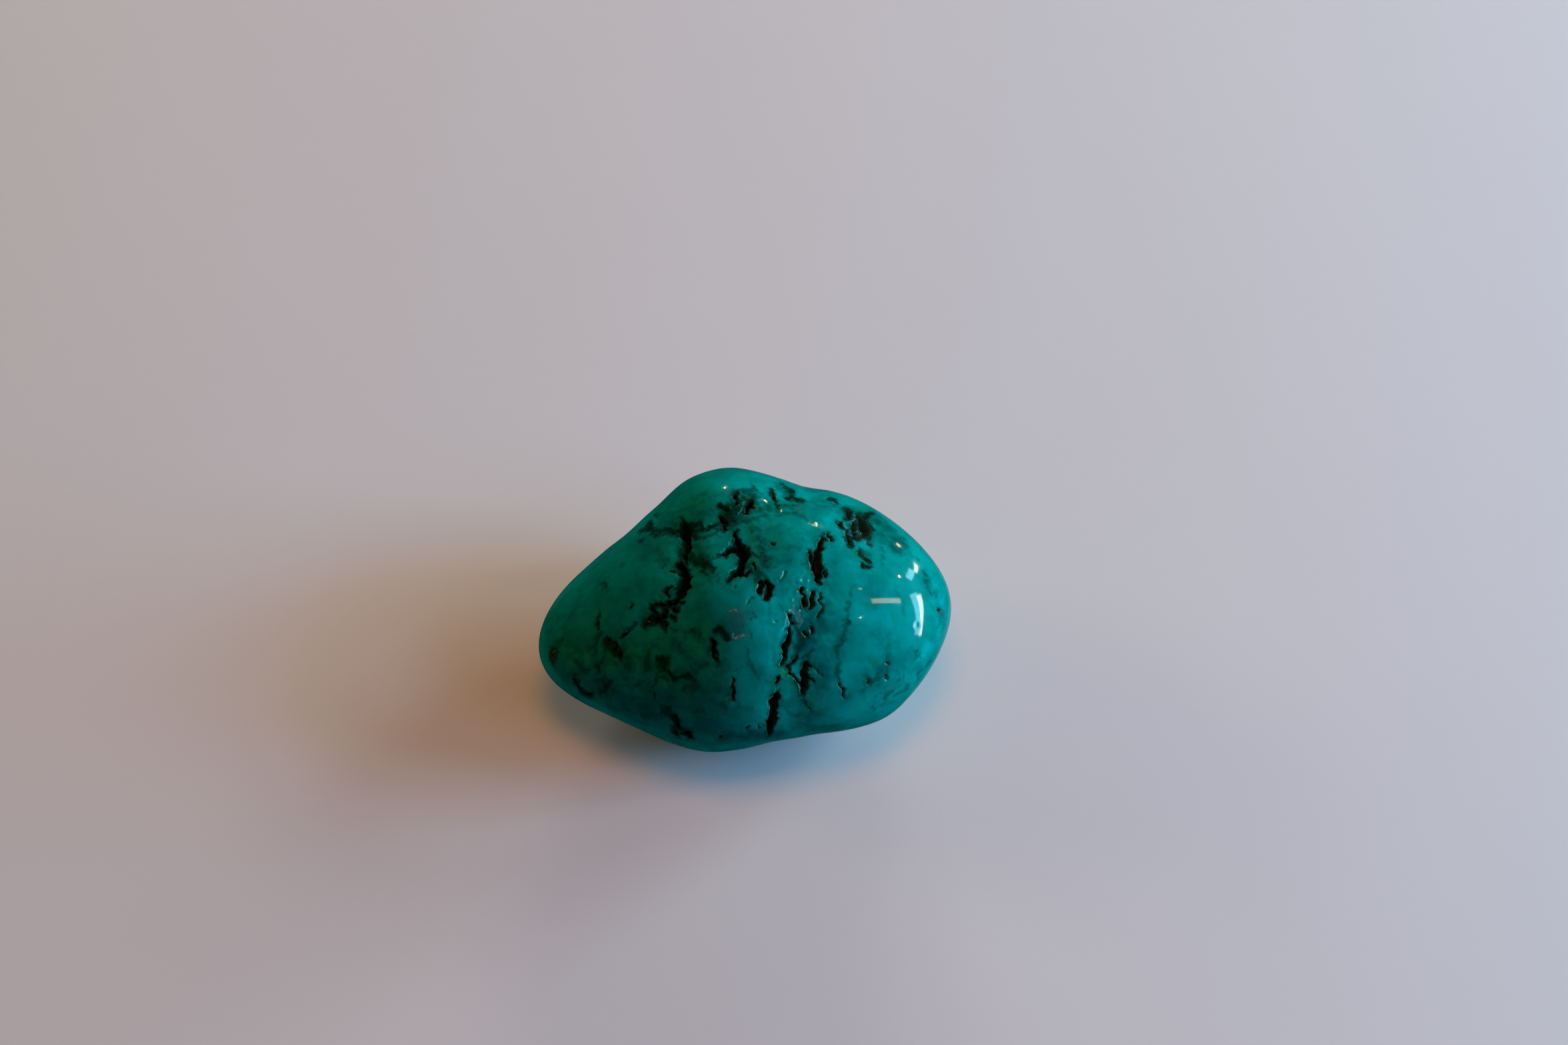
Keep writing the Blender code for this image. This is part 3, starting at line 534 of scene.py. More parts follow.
FACE_SMOKE = marks(Kind.SMOKE, {
    "crevice_shelf": (0.75, (-11, 16.6, 2.6), (-7.5, 16.4, 2.2), (-4, 16.8, 2.6)),
    "north_heart": (0.85, (-4.6, 17.4, 4.6), (-2, 19.8, 5.2), (1.4, 21.8, 4.8)),
    "north_crown": (0.5, (-2.6, 22.6, 2.4), (1.6, 23.8, 2.2)),
    "north_foot": (0.6, (-2.6, 16.6, 3), (0.6, 18.6, 3.2)),
    "north_reach": (0.5, (2.5, 20.6, 4.4), (7, 20.8, 3.4), (11.5, 20.6, 2.6)),
    "north_rim": (0.6, (6.4, 24.8, 1.6), (9, 23.6, 2), (11.6, 22.2, 1.6)),
    "north_chip": (0.7, (5.4, 23.4, 2.4), (6.2, 22.2, 2.2)),
    "hollow": (0.45, (20.5, 19.6, 2.8), (21.6, 17, 4.6), (24.2, 15.8, 4.2)),
    "hollow_rim": (0.6, (24, 18, 2.6), (26.2, 19.4, 1.6)),
    "middle": (0.75, (-2.2, 12.8, 3.2), (0, 10.8, 3.8), (0.4, 8.2, 3.8), (-1.8, 6.8, 2.2)),
    "middle_east": (0.6, (3.4, 13.4, 3), (4.2, 10, 4.4), (3, 6.4, 3)),
    "green_hollow": (0.85, (-10.4, 10.8, 3.2), (-8, 9.4, 3.8), (-6.2, 8.2, 2.4)),
    "hollow_tail": (0.4, (-7.4, 7, 2.4), (-6.2, 3.6, 2)),
    "crevice_left": (0.7, (-19.6, 16, 2.4), (-16.2, 15.6, 2.8), (-13.4, 15.4, 2.6)),
    "crevice": (0.8, (-12.4, 17.4, 3), (-12, 13, 3), (-12.4, 9.6, 3)),
    "hole": (0.55, (-13.4, 8.6, 3.4), (-12.8, 5, 4.6), (-14.8, 2, 4.4)),
    "slope_mottle": (0.45, (-18.6, 13.4, 2.6), (-16.4, 10.6, 3), (-15.4, 7.6, 2.6)),
    "loop_head": (0.7, (-16.4, -9.6, 3), (-15.6, -11.8, 3)),
    "loop_floor": (0.7, (-17.2, -13.8, 2.2), (-14.6, -12.8, 2.6), (-10.8, -13.2, 2.4)),
    "loop_west": (0.45, (-20.4, -9.8, 2.4), (-18.4, -12, 2.4)),
    "plate": (0.45, (-14, -3.6, 2.4), (-9.4, -4.4, 3), (-8.4, -6.4, 3)),
    "plate_low": (0.4, (-11.4, -8.4, 3), (-9.2, -11, 3.2)),
    "slit": (0.4, (-6.4, -5, 2), (-6, -8, 2.4), (-5, -10.6, 2)),
    "seam": (0.3, (9.9, -2.4, 1.6), (10, -6.6, 2), (9, -10.6, 2)),
    # seam_side darkens the seam pool: painted shade on the valley side turned from the window.
    "seam_side": (0.7, (10.6, -2, 2.6), (11.8, -5, 2.8), (10.6, -9.4, 2.6)),
    "long_band": (0.5, (20.6, 2, 1.4), (20.2, -3.6, 1.6), (18.6, -8, 1.8), (18.8, -14, 1.6)),
    "east_spots": (0.45, (24.2, -13.8, 2.4), (28, -13, 1.8), (28.2, -10.6, 1.6)),
    "east_streaks": (0.35, (25, -18.4, 1.8), (28.4, -15.8, 1.8), (32.4, -12.4, 1.6)),
    "east_streaks_b": (0.3, (33, -7.4, 2), (35.4, -9.6, 2)),
    "rim_streak": (0.4, (27.4, 18.6, 1.4), (31, 14, 1.6), (34.6, 9.4, 1.4)),
    "far_east": (0.35, (35.4, 8, 1.6), (36.8, 4.6, 1.8), (38.8, -0.4, 1.6)),
    "west_smudge": (0.6, (-22, -2.4, 1.8), (-23.8, -5, 2)),
    "west_loop": (0.5, (-28.8, -10.6, 1.8), (-27.2, -12.8, 2), (-27.8, -15.4, 2)),
    "south_west": (0.6, (-33.2, -13.6, 1.6), (-31.8, -15.8, 2), (-29.8, -16.8, 1.8)),
    "west_slit": (0.45, (-28.6, 0.4, 1.2), (-28.8, -3.6, 1.8), (-29.4, -8, 1.6)),
    "south_pits": (0.6, (-16.2, -19.4, 2.2), (-13.4, -21.8, 2.2), (-10.8, -24.6, 1.8)),
    "far_west": (0.4, (-27.8, 5.4, 1.6), (-27, 3.8, 1.8)),
})

FACE_GREEN = marks(Kind.GREEN, {
    "plate": (0.8, (-15, -6.5, 7), (-9, -7, 8), (-6, -11, 7)),
    "middle_moss": (0.45, (1.6, 17, 4), (2.8, 12, 5), (2.8, 6.4, 4)),
    "north_moss": (0.35, (5, 17, 5), (7.4, 12.4, 6)),
    "furrow_moss": (0.5, (-15, 11.6, 4), (-14.4, 7, 3)),
    "crevice_walls": (0.7, (-13.6, 13.6, 1.6), (-13, 10.4, 1.6), (-15.2, 9.4, 1.8)),
    "hollow": (0.8, (-9.6, 11, 3), (-8, 8.4, 3.4)),
    "loops": (0.9, (-15, -12, 6), (-10, -14.5, 5)),
    "loops_low": (0.6, (-15.4, -15, 2.6), (-12.6, -15.2, 2.4)),
    "west_field": (0.8, (-34, -8, 7), (-28, -9, 8), (-20, -9, 8)),
    "west_island": (0.8, (-35, -8, 2.4), (-33.4, -7.6, 2.4)),
    "hump_side": (0.3, (-12, 18, 9), (-8, 22, 9)),
    "below_seam": (0.8, (6.2, -14.6, 1.6), (5.6, -16.8, 1.8)),
    "seam_rubble": (0.9, (7.2, -11.4, 2), (8.8, -13.4, 2), (10.8, -15.4, 1.6)),
    "crevice_left": (0.7, (12.6, 9.6, 0.9), (13.6, 7.6, 1), (14.6, 6.2, 0.9)),
    "east_fleck": (0.7, (25, -9.8, 1.4), (26.2, -10.6, 1.4)),
    "star_side": (0.6, (14, -16.8, 2.6), (13.6, -18.6, 2)),
    "slit_side": (0.7, (-3.2, -16.4, 1.4), (-3.8, -18.4, 1.6)),
    "north_green": (0.5, (2, 20.2, 2.4), (6.8, 20.6, 2.4)),
    "rim_green": (0.5, (23, 20.4, 1.6), (24.6, 19.8, 1.4)),
    "east_chip_green": (0.5, (22.6, 10.8, 2), (24.8, 11.2, 2.2)),
})

# Painted shade: seam_pool, seam_pool_east and valley darken the side of the seam valley turned from
# the window, and the skirts darken the bottom edge, which faces down; the other marks are deeper,
# bluer tone.
FACE_SHADE = marks(Kind.SHADE, {
    "seam_pool": (1, (10.8, -1.2, 3.8), (12.6, -3.4, 5), (11.8, -8, 4.6)),
    "seam_pool_east": (0.5, (13.6, -6, 4), (15.4, -2.2, 3)),
    "valley": (0.4, (16.6, -9, 5), (15.5, -14, 6), (14.5, -20, 7)),
    "south_skirt": (0.7, (-24, -18.5, 6), (-12, -21, 8), (-6, -23, 5)),
    "south_east_skirt": (0.3, (6, -23.4, 3), (18, -23, 4)),
    "south_skirt_middle": (0.85, (-4, -24.6, 3.4), (8, -24.6, 3)),
    "north_west_field": (0.35, (-20, 12, 6), (-16, 17, 6)),
    "rub_disk": (0.5, (-1.6, -1.4, 3.4), (-1.2, -3.8, 3.6)),
    "west_low_blue": (0.5, (-29.6, -14.6, 3), (-28, -13.2, 2.4)),
})

# Painted shade: the west marks, hump_west and seam_pool darken faces turned from the window; the
# other marks darken the tone in patches.
FACE_DIM_AND_PAINTED_SHADE = marks(Kind.DIM_AND_PAINTED_SHADE, {
    "west": (0.9, (-36, -12, 16), (-22, -12, 18), (-9, -15, 15)),
    "west_heart": (1, (-25, -9, 8), (-17, -11.5, 8), (-12, -12, 6)),
    "west_high": (0.3, (-30, 2, 12), (-20, 5, 10)),
    "west_slope": (0.5, (-29, 7, 7), (-22, 11, 7)),
    "furrow": (0.8, (-13, 17.6, 4), (-9.6, 13, 4.4), (-8.4, 11.6, 4)),
    "west_shoulder": (0.5, (-33, 2.4, 4), (-26, 7, 5), (-22, 7.6, 4)),
    "east_belly": (0.3, (15.6, 2, 3), (16.6, -3, 3.6), (26.6, -4.6, 5), (27, -8.4, 4)),
    "seam_pool": (0.5, (11.6, -2, 2.6), (12.6, -4.4, 2.4)),
    "hump_west": (0.3, (-14, 18, 8), (-9, 20, 9)),
    "middle_north": (0.5, (-2, 20, 7), (4, 20.4, 5)),
    "middle": (0.5, (0, 14, 7), (6, 10, 7)),
    "middle_heart": (1, (1.4, 17, 3.4), (2.4, 12, 4.4), (2.8, 7, 3.4)),
    "north_plain": (0.4, (5, 17, 5), (10, 18.6, 4)),
    "south_east": (0.5, (20, -17, 5), (26, -14, 5.4), (31, -9, 4)),
    "east_top": (0.85, (25.4, 19, 3), (28.6, 15.6, 3.6), (31, 12, 3)),
    "middle_plate": (0.45, (-8, -2, 7), (-8, -9, 8)),
    "slit_band": (0.6, (-4.2, -3, 3.4), (-3.8, -7, 3.6), (-3.6, -11, 3.4)),
    "belly": (0.05, (-5, -15, 5), (3, -19, 5)),
    "east_valley": (0.15, (17, -9, 6), (17, -18, 7)),
})

# Painted light: east_rim brightens the rim that mirrors a dark surround, and crest and
# seam_shoulder brighten faces turned to the window beside the seam valley; the other marks lift the
# tone in patches.
FACE_BRIGHT_AND_PAINTED_LIGHT = marks(Kind.BRIGHT, {
    "crest": (0.9, (3.4, 1.4, 4), (5.2, -4.6, 5.6), (5.8, -10, 5)),
    "seam_shoulder": (1, (7.2, -1, 2.4), (6.8, -9, 2.4), (6.4, -10.2, 2)),
    "valley_head": (0.4, (16.8, 3, 2.6), (17, -2, 3.4), (16.8, -5.4, 2.6)),
    "twin_side": (0.7, (10, 2.6, 2.6), (10.4, 5.6, 2.4)),
    "east_rim": (1, (35, 9, 3), (38, 2.6, 3.4), (37.8, -4, 3.4), (34.6, -10, 3)),
    "chip_side": (0.8, (20.4, 11.4, 2.6), (21.4, 8.6, 2.6)),
    "ledge_ground": (0.6, (-20.4, -1, 3), (-17, -3.4, 3)),
    "hole_west": (0.4, (-16, 4.6, 2), (-15.4, 2.4, 2)),
    "star_side_light": (0.5, (10.6, -12, 2), (13.8, -12.6, 2)),
    "far_slope": (0.4, (-24, 2.6, 3.4), (-17.6, 3.2, 2.6)),
    "south_belly": (1, (-3.4, -17.6, 3), (2, -22, 3.4)),
    "hollow_side": (1, (22.4, 11.6, 2), (24.6, 12.4, 1.6)),
    "hump_top": (0.05, (-4, 26.4, 4), (1, 25.8, 4), (4, 24.6, 3.4)),
    "plateau": (0.6, (12, 16.4, 4.6), (15.4, 17.6, 5), (18.6, 17.8, 3.4)),
    "plateau_rim": (0.6, (12.4, 24, 3), (16.6, 22.8, 3), (21.6, 21.8, 2.4)),
    "east": (0.6, (19, 10, 6), (25, 3, 9), (29, -6, 8)),
    "middle_island": (0.5, (9.2, 3.6, 3), (9.8, 0.6, 3)),
    "wing_island": (0.5, (-5.6, 13.4, 3), (-3.6, 9, 3.4)),
    "crevice_island": (0.4, (-8.6, 12.6, 3), (-6, 12.8, 3)),
    "star_island": (0.5, (9.6, -15.6, 2.6), (9.2, -18, 3)),
    "belly_light": (0.3, (-1, -12, 3), (1.6, -16, 3)),
    "north_west_light": (0.35, (-19, 8, 5), (-17, 3, 5)),
    "hole_east": (0.35, (-9.6, 4.6, 3), (-8.6, 0.6, 4)),
})

# Painted light: the lips and edges of pits that face the window; the flakes, strands and flecks are
# the stone's own pale teal.
FACE_CHALK_AND_PAINTED_LIGHT = marks(Kind.CHALK_AND_PAINTED_LIGHT, {
    "wing_lip": (1, (-2.6, 14, 0.2), (-3.4, 12.6, 0.35), (-4.3, 11.6, 0.5)),
    "wing_grey": (0.8, (-4.6, 11, 0.4), (-4.2, 10.9, 0.3)),
    "chip_lip": (1, (-3.2, 6.8, 0.4), (-2.6, 7.7, 0.4), (-1.7, 8.8, 0.25)),
    "centre_lip": (0.7, (2.5, 5.4, 0.35), (2.4, 4.4, 0.45), (2.6, 3.6, 0.35)),
    "pit_line": (0.8, (-0.1, 21.8, 0.25), (-0.5, 20.6, 0.3), (-1, 19.2, 0.25)),
    "seam_edge": (0.9, (8.4, -0.8, 0.3), (8.5, -2.2, 0.5), (8.1, -4, 0.5)),
    "seam_low_edge": (0.3, (7.8, -6.4, 0.3), (7.4, -9.4, 0.4)),
    "twin_edge": (0.3, (11.4, 4.8, 0.5), (11.5, 3.4, 0.4), (11.5, 1.6, 0.3)),
    "twin_wall": (0.3, (13.3, 2.4, 0.4), (13, 0.9, 0.5)),
    "star_edge": (0.6, (10.5, -13.9, 0.4), (11, -15.1, 0.5), (11.7, -16.7, 0.4)),
    "paired_flake": (0.9, (13.2, -4.3, 0.4), (13.4, -4.8, 0.4)),
    "seam_flake": (0.7, (7.5, -9.6, 0.5), (7.4, -11.1, 0.6)),
    "hole_flake": (0.8, (-13.6, 7.6, 0.4), (-13.4, 7.2, 0.5)),
    "crevice_edge": (0.5, (12.5, 10.6, 0.4), (13.2, 8.6, 0.4), (14.3, 6.9, 0.4)),
    "south_edge": (0.5, (4.9, -18.4, 0.4), (4.6, -21, 0.4), (4.3, -23.4, 0.4)),
    "star_groove_lip": (0.7, (13.5, -11.6, 0.25), (15.1, -13.1, 0.25)),
    "star_foot_lip": (0.6, (12.2, -19.2, 0.25), (12.9, -20.1, 0.3)),
    "rubble_flake": (0.6, (7.5, -11.4, 0.4), (8.4, -12.4, 0.5)),
    "rubble_flake_low": (0.5, (9.2, -13.3, 0.4), (10.3, -14.5, 0.5)),
    "rubble_fleck": (0.6, (6.3, -15.4, 0.5), (6, -16.3, 0.4)),
    "slit_flake": (0.6, (-3.4, -17.2, 0.35), (-3.6, -18.4, 0.35)),
    "hollow_flakes": (0.7, (20, 17.6, 0.4), (20.6, 16.6, 0.5), (20.3, 16, 0.3)),
    "hollow_strand": (0.6, (21.4, 20.4, 0.3), (22.2, 18.6, 0.4), (21.6, 17.2, 0.3)),
    "hollow_strand_low": (0.5, (21.4, 15.8, 0.3), (22.8, 16.2, 0.4), (23.4, 15.2, 0.3)),
})

FACE_SCUFF = marks(Kind.SCUFF, {
    "rub_head": (0.9, (-2.8, -0.3, 0.7), (-1.4, 0, 0.8)),
    "rub_outlier": (0.7, (-3.9, 0.9, 0.7), (-3.5, 0.9, 0.6)),
    "rub_face": (0.6, (-1.7, -1.9, 4.6), (-1.5, -2.9, 4.8)),
    # seam_pool's veil darkens the seam pool, which is painted shade, and dulls its shine.
    "seam_pool": (0.5, (10.2, 0.2, 1.6), (11, -1.6, 2.2), (11.2, -2.6, 2)),
    "rub_foot": (1, (-2.4, -4.4, 0.6), (-1.6, -5.2, 1), (-0.7, -5.4, 1.1), (0.2, -4.9, 0.6)),
})

FACE_RUST = marks(Kind.RUST, {
    "hollow_rust": (0.5, (23.8, 15.2, 1.2), (25, 15.2, 1)),
    "hollow_rust_top": (0.3, (20.8, 19.7, 0.9), (19.2, 17.9, 0.7)),
    "hollow_ochre": (0.2, (23, 13.8, 0.8), (20.9, 15, 0.6)),
    "centre_rust": (0.8, (3.1, 5, 0.9), (3.3, 3.4, 1), (4.9, 2.9, 1.2)),
    "crevice_rust": (0.8, (14.4, 11.4, 1.2), (14.4, 9.4, 1.1), (15.2, 8.2, 0.9)),
    "twin_rust": (0.8, (12.1, 2.6, 0.7), (12.1, 1.4, 0.7)),
    "twin_rust_east": (0.7, (13.8, 1.9, 0.8), (14.6, 1.4, 0.6)),
    "west_rust": (0.7, (-26.4, -6.6, 1), (-25, -8, 1)),
    "nose_rust": (1.6, (-37.4, -7.6, 0.9), (-38.1, -9.4, 0.9)),
    "ledge_rust": (0.3, (-18.6, 0.6, 1.6), (-16.5, 0.2, 1.8), (-15.4, 0.4, 1.2)),
    # The ledge's gold specks are painted glints, standing in for warm highlights on the ledge.
    "ledge_painted_glint": (1.1, (-18.4, 0.2, 0.6), (-17.9, -0.3, 0.6)),
    "ledge_painted_glint_low": (1.1, (-19.5, -2.2, 0.6), (-19.9, -2.7, 0.6)),
    "ledge_painted_glint_east": (1.1, (-15.6, 0.9, 0.6), (-15.4, 0.3, 0.6)),
    "wing_rust": (0.5, (-3, 11.6, 0.8), (-1.8, 12, 0.8)),
    "north_rust": (0.8, (-2.5, 21.3, 0.7), (-1.8, 20.9, 0.6)),
    "north_foot_rust": (0.8, (-0.3, 19.1, 0.6), (0.2, 19, 0.6)),
    "vein_rust": (0.8, (2.8, 11.1, 0.6), (3.4, 11.2, 0.6)),
    "row_rust": (0.7, (9.6, 22.4, 0.7), (10.6, 22.4, 0.7)),
})

BACK_MARKS = (
    *marks(Kind.DENT, {
        "back_valley": (0.9, (-14, 14, 9), (-9, 2, 11), (-12, -10, 10)),
    }),
    *marks(Kind.PIT, {
        "back_crevice": (2, (-8.5, 9.5, 0.7), (-7.6, 6.8, 1.4), (-8.2, 4, 1.7), (-7, 1.2, 1.1),
            (-6.9, -1, 0.6)),
        "back_pit": (1.5, (9, 3, 1.6), (10.6, 2.2, 1.9), (11.2, 0.4, 1.1)),
        "back_slit": (1.3, (20, -2, 0.7), (19, -5, 1.2), (19.4, -8, 0.7)),
        "back_chip": (1.1, (-22, 1, 1.3), (-23.4, -0.8, 1.6)),
        "back_speck": (0.7, (1.5, 10, 0.8), (2.2, 9.4, 0.6)),
        "back_speck_b": (0.6, (-16, -6, 0.7), (-15.4, -6.6, 0.6)),
    }),
    *marks(Kind.CRUMB, {
        "back_crumbs": (1, (4, -4, 1.6), (6.5, -6, 2.4), (8, -9, 1.4)),
        "back_ledge": (1, (-6.8, -1.4, 1.2), (-5, -3.6, 2), (-3, -4.6, 1.2)),
    }),
    *marks(Kind.STAIN, {
        "back_blot": (0.6, (10, 6, 2), (8, 8, 1.4)),
        "back_shelf": (0.7, (-7.4, 6.4, 1), (-4.2, 7.2, 0.8), (-1.6, 6.8, 0.6)),
        "back_loop": (0.6, (14, 8, 0.5), (17, 5, 0.8), (16, 1.5, 0.6), (13, 0.5, 0.5)),
    }),
    *marks(Kind.VEIN, {
        "back_vein": (0.45, (-28, 6, 0.5), (-20, 8, 0.6), (-10, 9.5, 0.5)),
        "back_vein_b": (0.4, (11.4, 0, 0.5), (15, -3, 0.6), (19, -4.5, 0.5)),
        "back_vein_c": (0.35, (-23, -1, 0.5), (-18, -4, 0.6), (-12, -4.5, 0.5), (-6.5, -2, 0.5)),
        "back_vein_d": (0.35, (22, 8, 0.5), (28, 4, 0.6), (31, -2, 0.5)),
    }),
    *marks(Kind.GREEN, {
        "back_green": (0.6, (2, 2, 12), (14, -2, 10)),
        "back_green_b": (0.5, (-26, 4, 8), (-30, -2, 8)),
    }),
    *marks(Kind.SHADE, {
        "back_shade": (0.6, (-14, 10, 8), (-10, -8, 9)),
    }),
    *marks(Kind.RUST, {
        "back_rust": (0.8, (-8, 5, 1.4), (-7.4, 2, 1)),
        "back_rust_b": (0.7, (10.4, 2, 1.4), (11, 0.8, 1)),
    }),
)


@dataclass(frozen=True)
class Wave:
    """Two sine waves along one way of a sheet, the first slanted by the other way."""

    slant: float
    start: float
    overtone: float
    overtone_start: float
    overtone_share: ClassVar[float] = 0.6

    def at(self, turned: Array, other: Array) -> Array:
        """sin(turned + slant × other + start), and a fainter sine of overtone × turned."""
        overtone = np.sin(self.overtone * turned + self.overtone_start)
        return np.sin(turned + self.slant * other + self.start) + self.overtone_share * overtone


@dataclass(frozen=True)
class Sheet:
    """A flat sheet seen from an eye, on which marks are laid out in millimetres.

    Attributes:
        eye: the eye's place from the stone's middle, in millimetres.
        right, up: the sheet's unit directions to the right and up.
        zero: the sheet's (across, up) of the point that stands for the stone's middle.
        marks: the sheet's marks.
        ragged: how far, and over what length, sine waves bend the marks, in millimetres.
        fray: how far, and over what length, fine noise does.
        fray_seeds: that noise's patterns across and up.
        facing_step: the cosine to the eye's line at which marks start to show, and show fully.
        wander, sway: the waves that move marks across, and up.
    """

    eye: Point
    right: Point
    up: Point
    zero: Span
    marks: tuple[Mark, ...]
    ragged: Span = (0.18, 4.3)
    fray: Span = (0.36, 0.75)
    fray_seeds: tuple[int, int] = (11, 23)
    facing_step: Span = (0.12, 0.35)
    wander: Wave = Wave(0.7, 0.0, 2.3, 1.0)
    sway: Wave = Wave(-0.5, 2.1, 2.1, 0.0)

    def lay(self, places: Array) -> tuple[Array, Array]:
        """Each place's across and up on the sheet, wandering a little so that edges are ragged.

        A place moves along its line to the eye until it is 900 mm ahead of the eye, and its
        parts along right and up count from the sheet's zero. Sine waves of the other part are
        added to each, and soft noise over less than a millimetre.

        Args:
            places: rows of x, y, z from the stone's middle, in millimetres.

        Returns:
            The across and up values.
        """
        line = places - np.array(self.eye)
        scale = EYE_DISTANCE / (line @ np.cross(self.up, self.right))
        across = line @ np.array(self.right) * scale - self.zero[0]
        up = line @ np.array(self.up) * scale - self.zero[1]
        bend, length = self.ragged
        turns = 2.0 * math.pi / length
        shift = bend * self.wander.at(turns * up, across)
        lift = bend * self.sway.at(turns * across, up)
        amount, size = self.fray
        shift += amount * soft_noise(places, size, self.fray_seeds[0])
        lift += amount * soft_noise(places, size, self.fray_seeds[1])
        return across + shift, up + lift

    def facing(self, outward: Array, places: Array) -> Array:
        """1 where the skin faces the eye, 0 where it turns away: the eased cosine between."""
        turned = np.sum(outward * unit(np.array(self.eye) - places), axis=1)
        return ease(*self.facing_step, turned)


# --- the stone's form


@dataclass(frozen=True)
class Swell:
    """A broad rise or hollow of the stone: where it points, its spread in degrees, its height."""

    bearing: float
    rise: float
    spread: float
    height: float


@dataclass(frozen=True)
class StoneForm:
    """The stone's form before its pits: an ellipsoid with swells, in millimetres.

    Attributes:
        halves: the ellipsoid's half length, half width and half height.
        flat_cut: how much the worn flat takes off the underside.
        ripple: the height and length of the skin's broad waves.
        ripple_ways: each wave's pitch along x, y and z, and its start in radians.
        pucker: the height and length of the finer unevenness.
        pucker_seed: its pattern.
        swells: the broad rises and hollows by name.
    """

    halves: Point = (37.6, 27.6, 21.7)
    flat_cut: float = 1.3
    ripple: Span = (0.12, 13.0)
    ripple_ways: tuple[tuple[float, ...], ...] = (
        (1.0, 1.3, 0.0, 0.0), (0.0, 1.1, -0.9, 2.0), (1.2, 0.0, 0.8, 4.0)
    )
    pucker: Span = (0.016, 3.4)
    pucker_seed: int = 5
    swells: dict[str, Swell] = field(default_factory=lambda: {
        "north_west_hump": Swell(105, 31, 20, 4.1),
        "north_saddle": Swell(74, 31, 17, -1.0),
        "north_east_shoulder": Swell(45, 23, 23, 1.5),
        "east_end": Swell(5, 3, 14, 2.3),
        "south_east_corner": Swell(-31, -18, 13, 2.3),
        "south_hollow": Swell(-70, -30, 21, -2.2),
        "south_belly": Swell(-110, -30, 19, 2.2),
        "south_west_hollow": Swell(-135, -24, 25, -0.6),
        "west_nose": Swell(-169, -7, 14, 5.6),
        "north_west_hollow": Swell(153, 16, 23, -4.4),
        "crest": Swell(-98, 58, 17, 1.2),
        "west_flank": Swell(-148, 41, 18, -0.8),
        "east_dome": Swell(-11, 24, 16, 0.8),
        "back_bulge": Swell(80, -12, 20, 1.4),
        "back_west_hollow": Swell(125, -20, 18, -1.2),
        "under_east_hollow": Swell(20, -38, 18, -1.3),
    })

    def radius(self, directions: Array) -> Array:
        """Distance from the middle to the skin along each direction.

        It is the ellipsoid's radius, plus each swell's height times e to the power of
        (cosine of the angle from the swell - 1) / spread², plus a finer pucker, plus the ripple,
        which is its height times the mean of sin(turns × (x, y, z) · pitches + start) over its
        three ways, where turns is 2π × the half width over the ripple's length.

        Args:
            directions: rows of unit vectors.

        Returns:
            The distances in millimetres.
        """
        radius = 1.0 / np.linalg.norm(directions / np.array(self.halves), axis=1)
        for swell in self.swells.values():
            turned = directions @ pointing(swell.bearing, swell.rise) - 1.0
            radius += swell.height * np.exp(turned / math.radians(swell.spread) ** 2)
        height, length = self.pucker
        pucker = height * soft_noise(directions * radius[:, None], length, self.pucker_seed)
        height, length = self.ripple
        turns, ways = 2.0 * math.pi * self.halves[1] / length, np.array(self.ripple_ways)
        waves = np.sin(turns * directions @ ways[:, :3].T + ways[:, 3]).mean(axis=1)
        return radius + height * waves + pucker

    def outward(self, directions: Array) -> Array:
        """The plain ellipsoid's unit normal along each direction."""
        return unit(directions / np.array(self.halves) ** 2)


@dataclass(frozen=True)
class BallGrid:
    """A unit ball as six square patches, crowded towards one direction.

    A patch is a function of two parameters s and t from -1 to 1: the direction
    ahead + tan(45° s) side + tan(45° t) top, made unit length. Every direction then has lean
    times the crowded direction added, and is made unit length again, which draws the grid
    closer together on that side.

    Attributes:
        cells: how many faces a patch has along each side.
        crowded: the bearing and rise of the crowded direction, in degrees.
        lean: how much of it is added.
        weld_decimals: the decimals to which two patches' shared points agree.
    """

    cells: int = 126
    crowded: Span = (-90.0, 60.0)
    lean: float = 0.42
    weld_decimals: int = 6

    def patches(self) -> list[tuple[Array, Array, Array]]:
        """Each patch's three directions.

        Returns:
            Its ahead, side and top, with side × top = ahead, turned to the crowded side.
        """
        top = pointing(*self.crowded)
        side = np.array((1.0, 0.0, 0.0))
        axes = (top, side, np.cross(top, side))
        found = []
        for index in range(3):
            ahead, first, second = axes[index], axes[(index + 1) % 3], axes[(index + 2) % 3]
            found.append((ahead, first, second))
            found.append((-ahead, second, first))
        return found

    def build(self) -> tuple[Array, Array]:
        """The grid's welded directions and its four-cornered faces.

        Returns:
            Rows of unit directions, and rows of four indices into them.
        """
        slopes = np.tan(np.linspace(-1.0, 1.0, self.cells + 1) * math.pi / 4.0)
        along, rising = np.meshgrid(slopes, slopes, indexing="ij")
        corner = np.arange((self.cells + 1) ** 2).reshape(self.cells + 1, -1)
        square = np.stack(
            [corner[:-1, :-1], corner[1:, :-1], corner[1:, 1:], corner[:-1, 1:]], axis=-1
        ).reshape(-1, 4)
        rows, faces = [], []
        for index, (ahead, side, top) in enumerate(self.patches()):
            grid = ahead + along[..., None] * side + rising[..., None] * top
            rows.append(unit(grid.reshape(-1, 3)))
            faces.append(square + index * corner.size)
        every = np.concatenate(rows)
        _, first, welded = np.unique(
            np.round(every, self.weld_decimals), axis=0, return_index=True, return_inverse=True
        )
        directions = unit(every[first] + self.lean * pointing(*self.crowded))
        return directions, welded.reshape(-1)[np.concatenate(faces)]


# --- wiring


class Mix(Enum):
    """What a mix node mixes: its data type, and the places of its two inputs and its output."""

    COLOUR = ("RGBA", 6, 7, 2)
    NUMBER = ("FLOAT", 2, 3, 0)


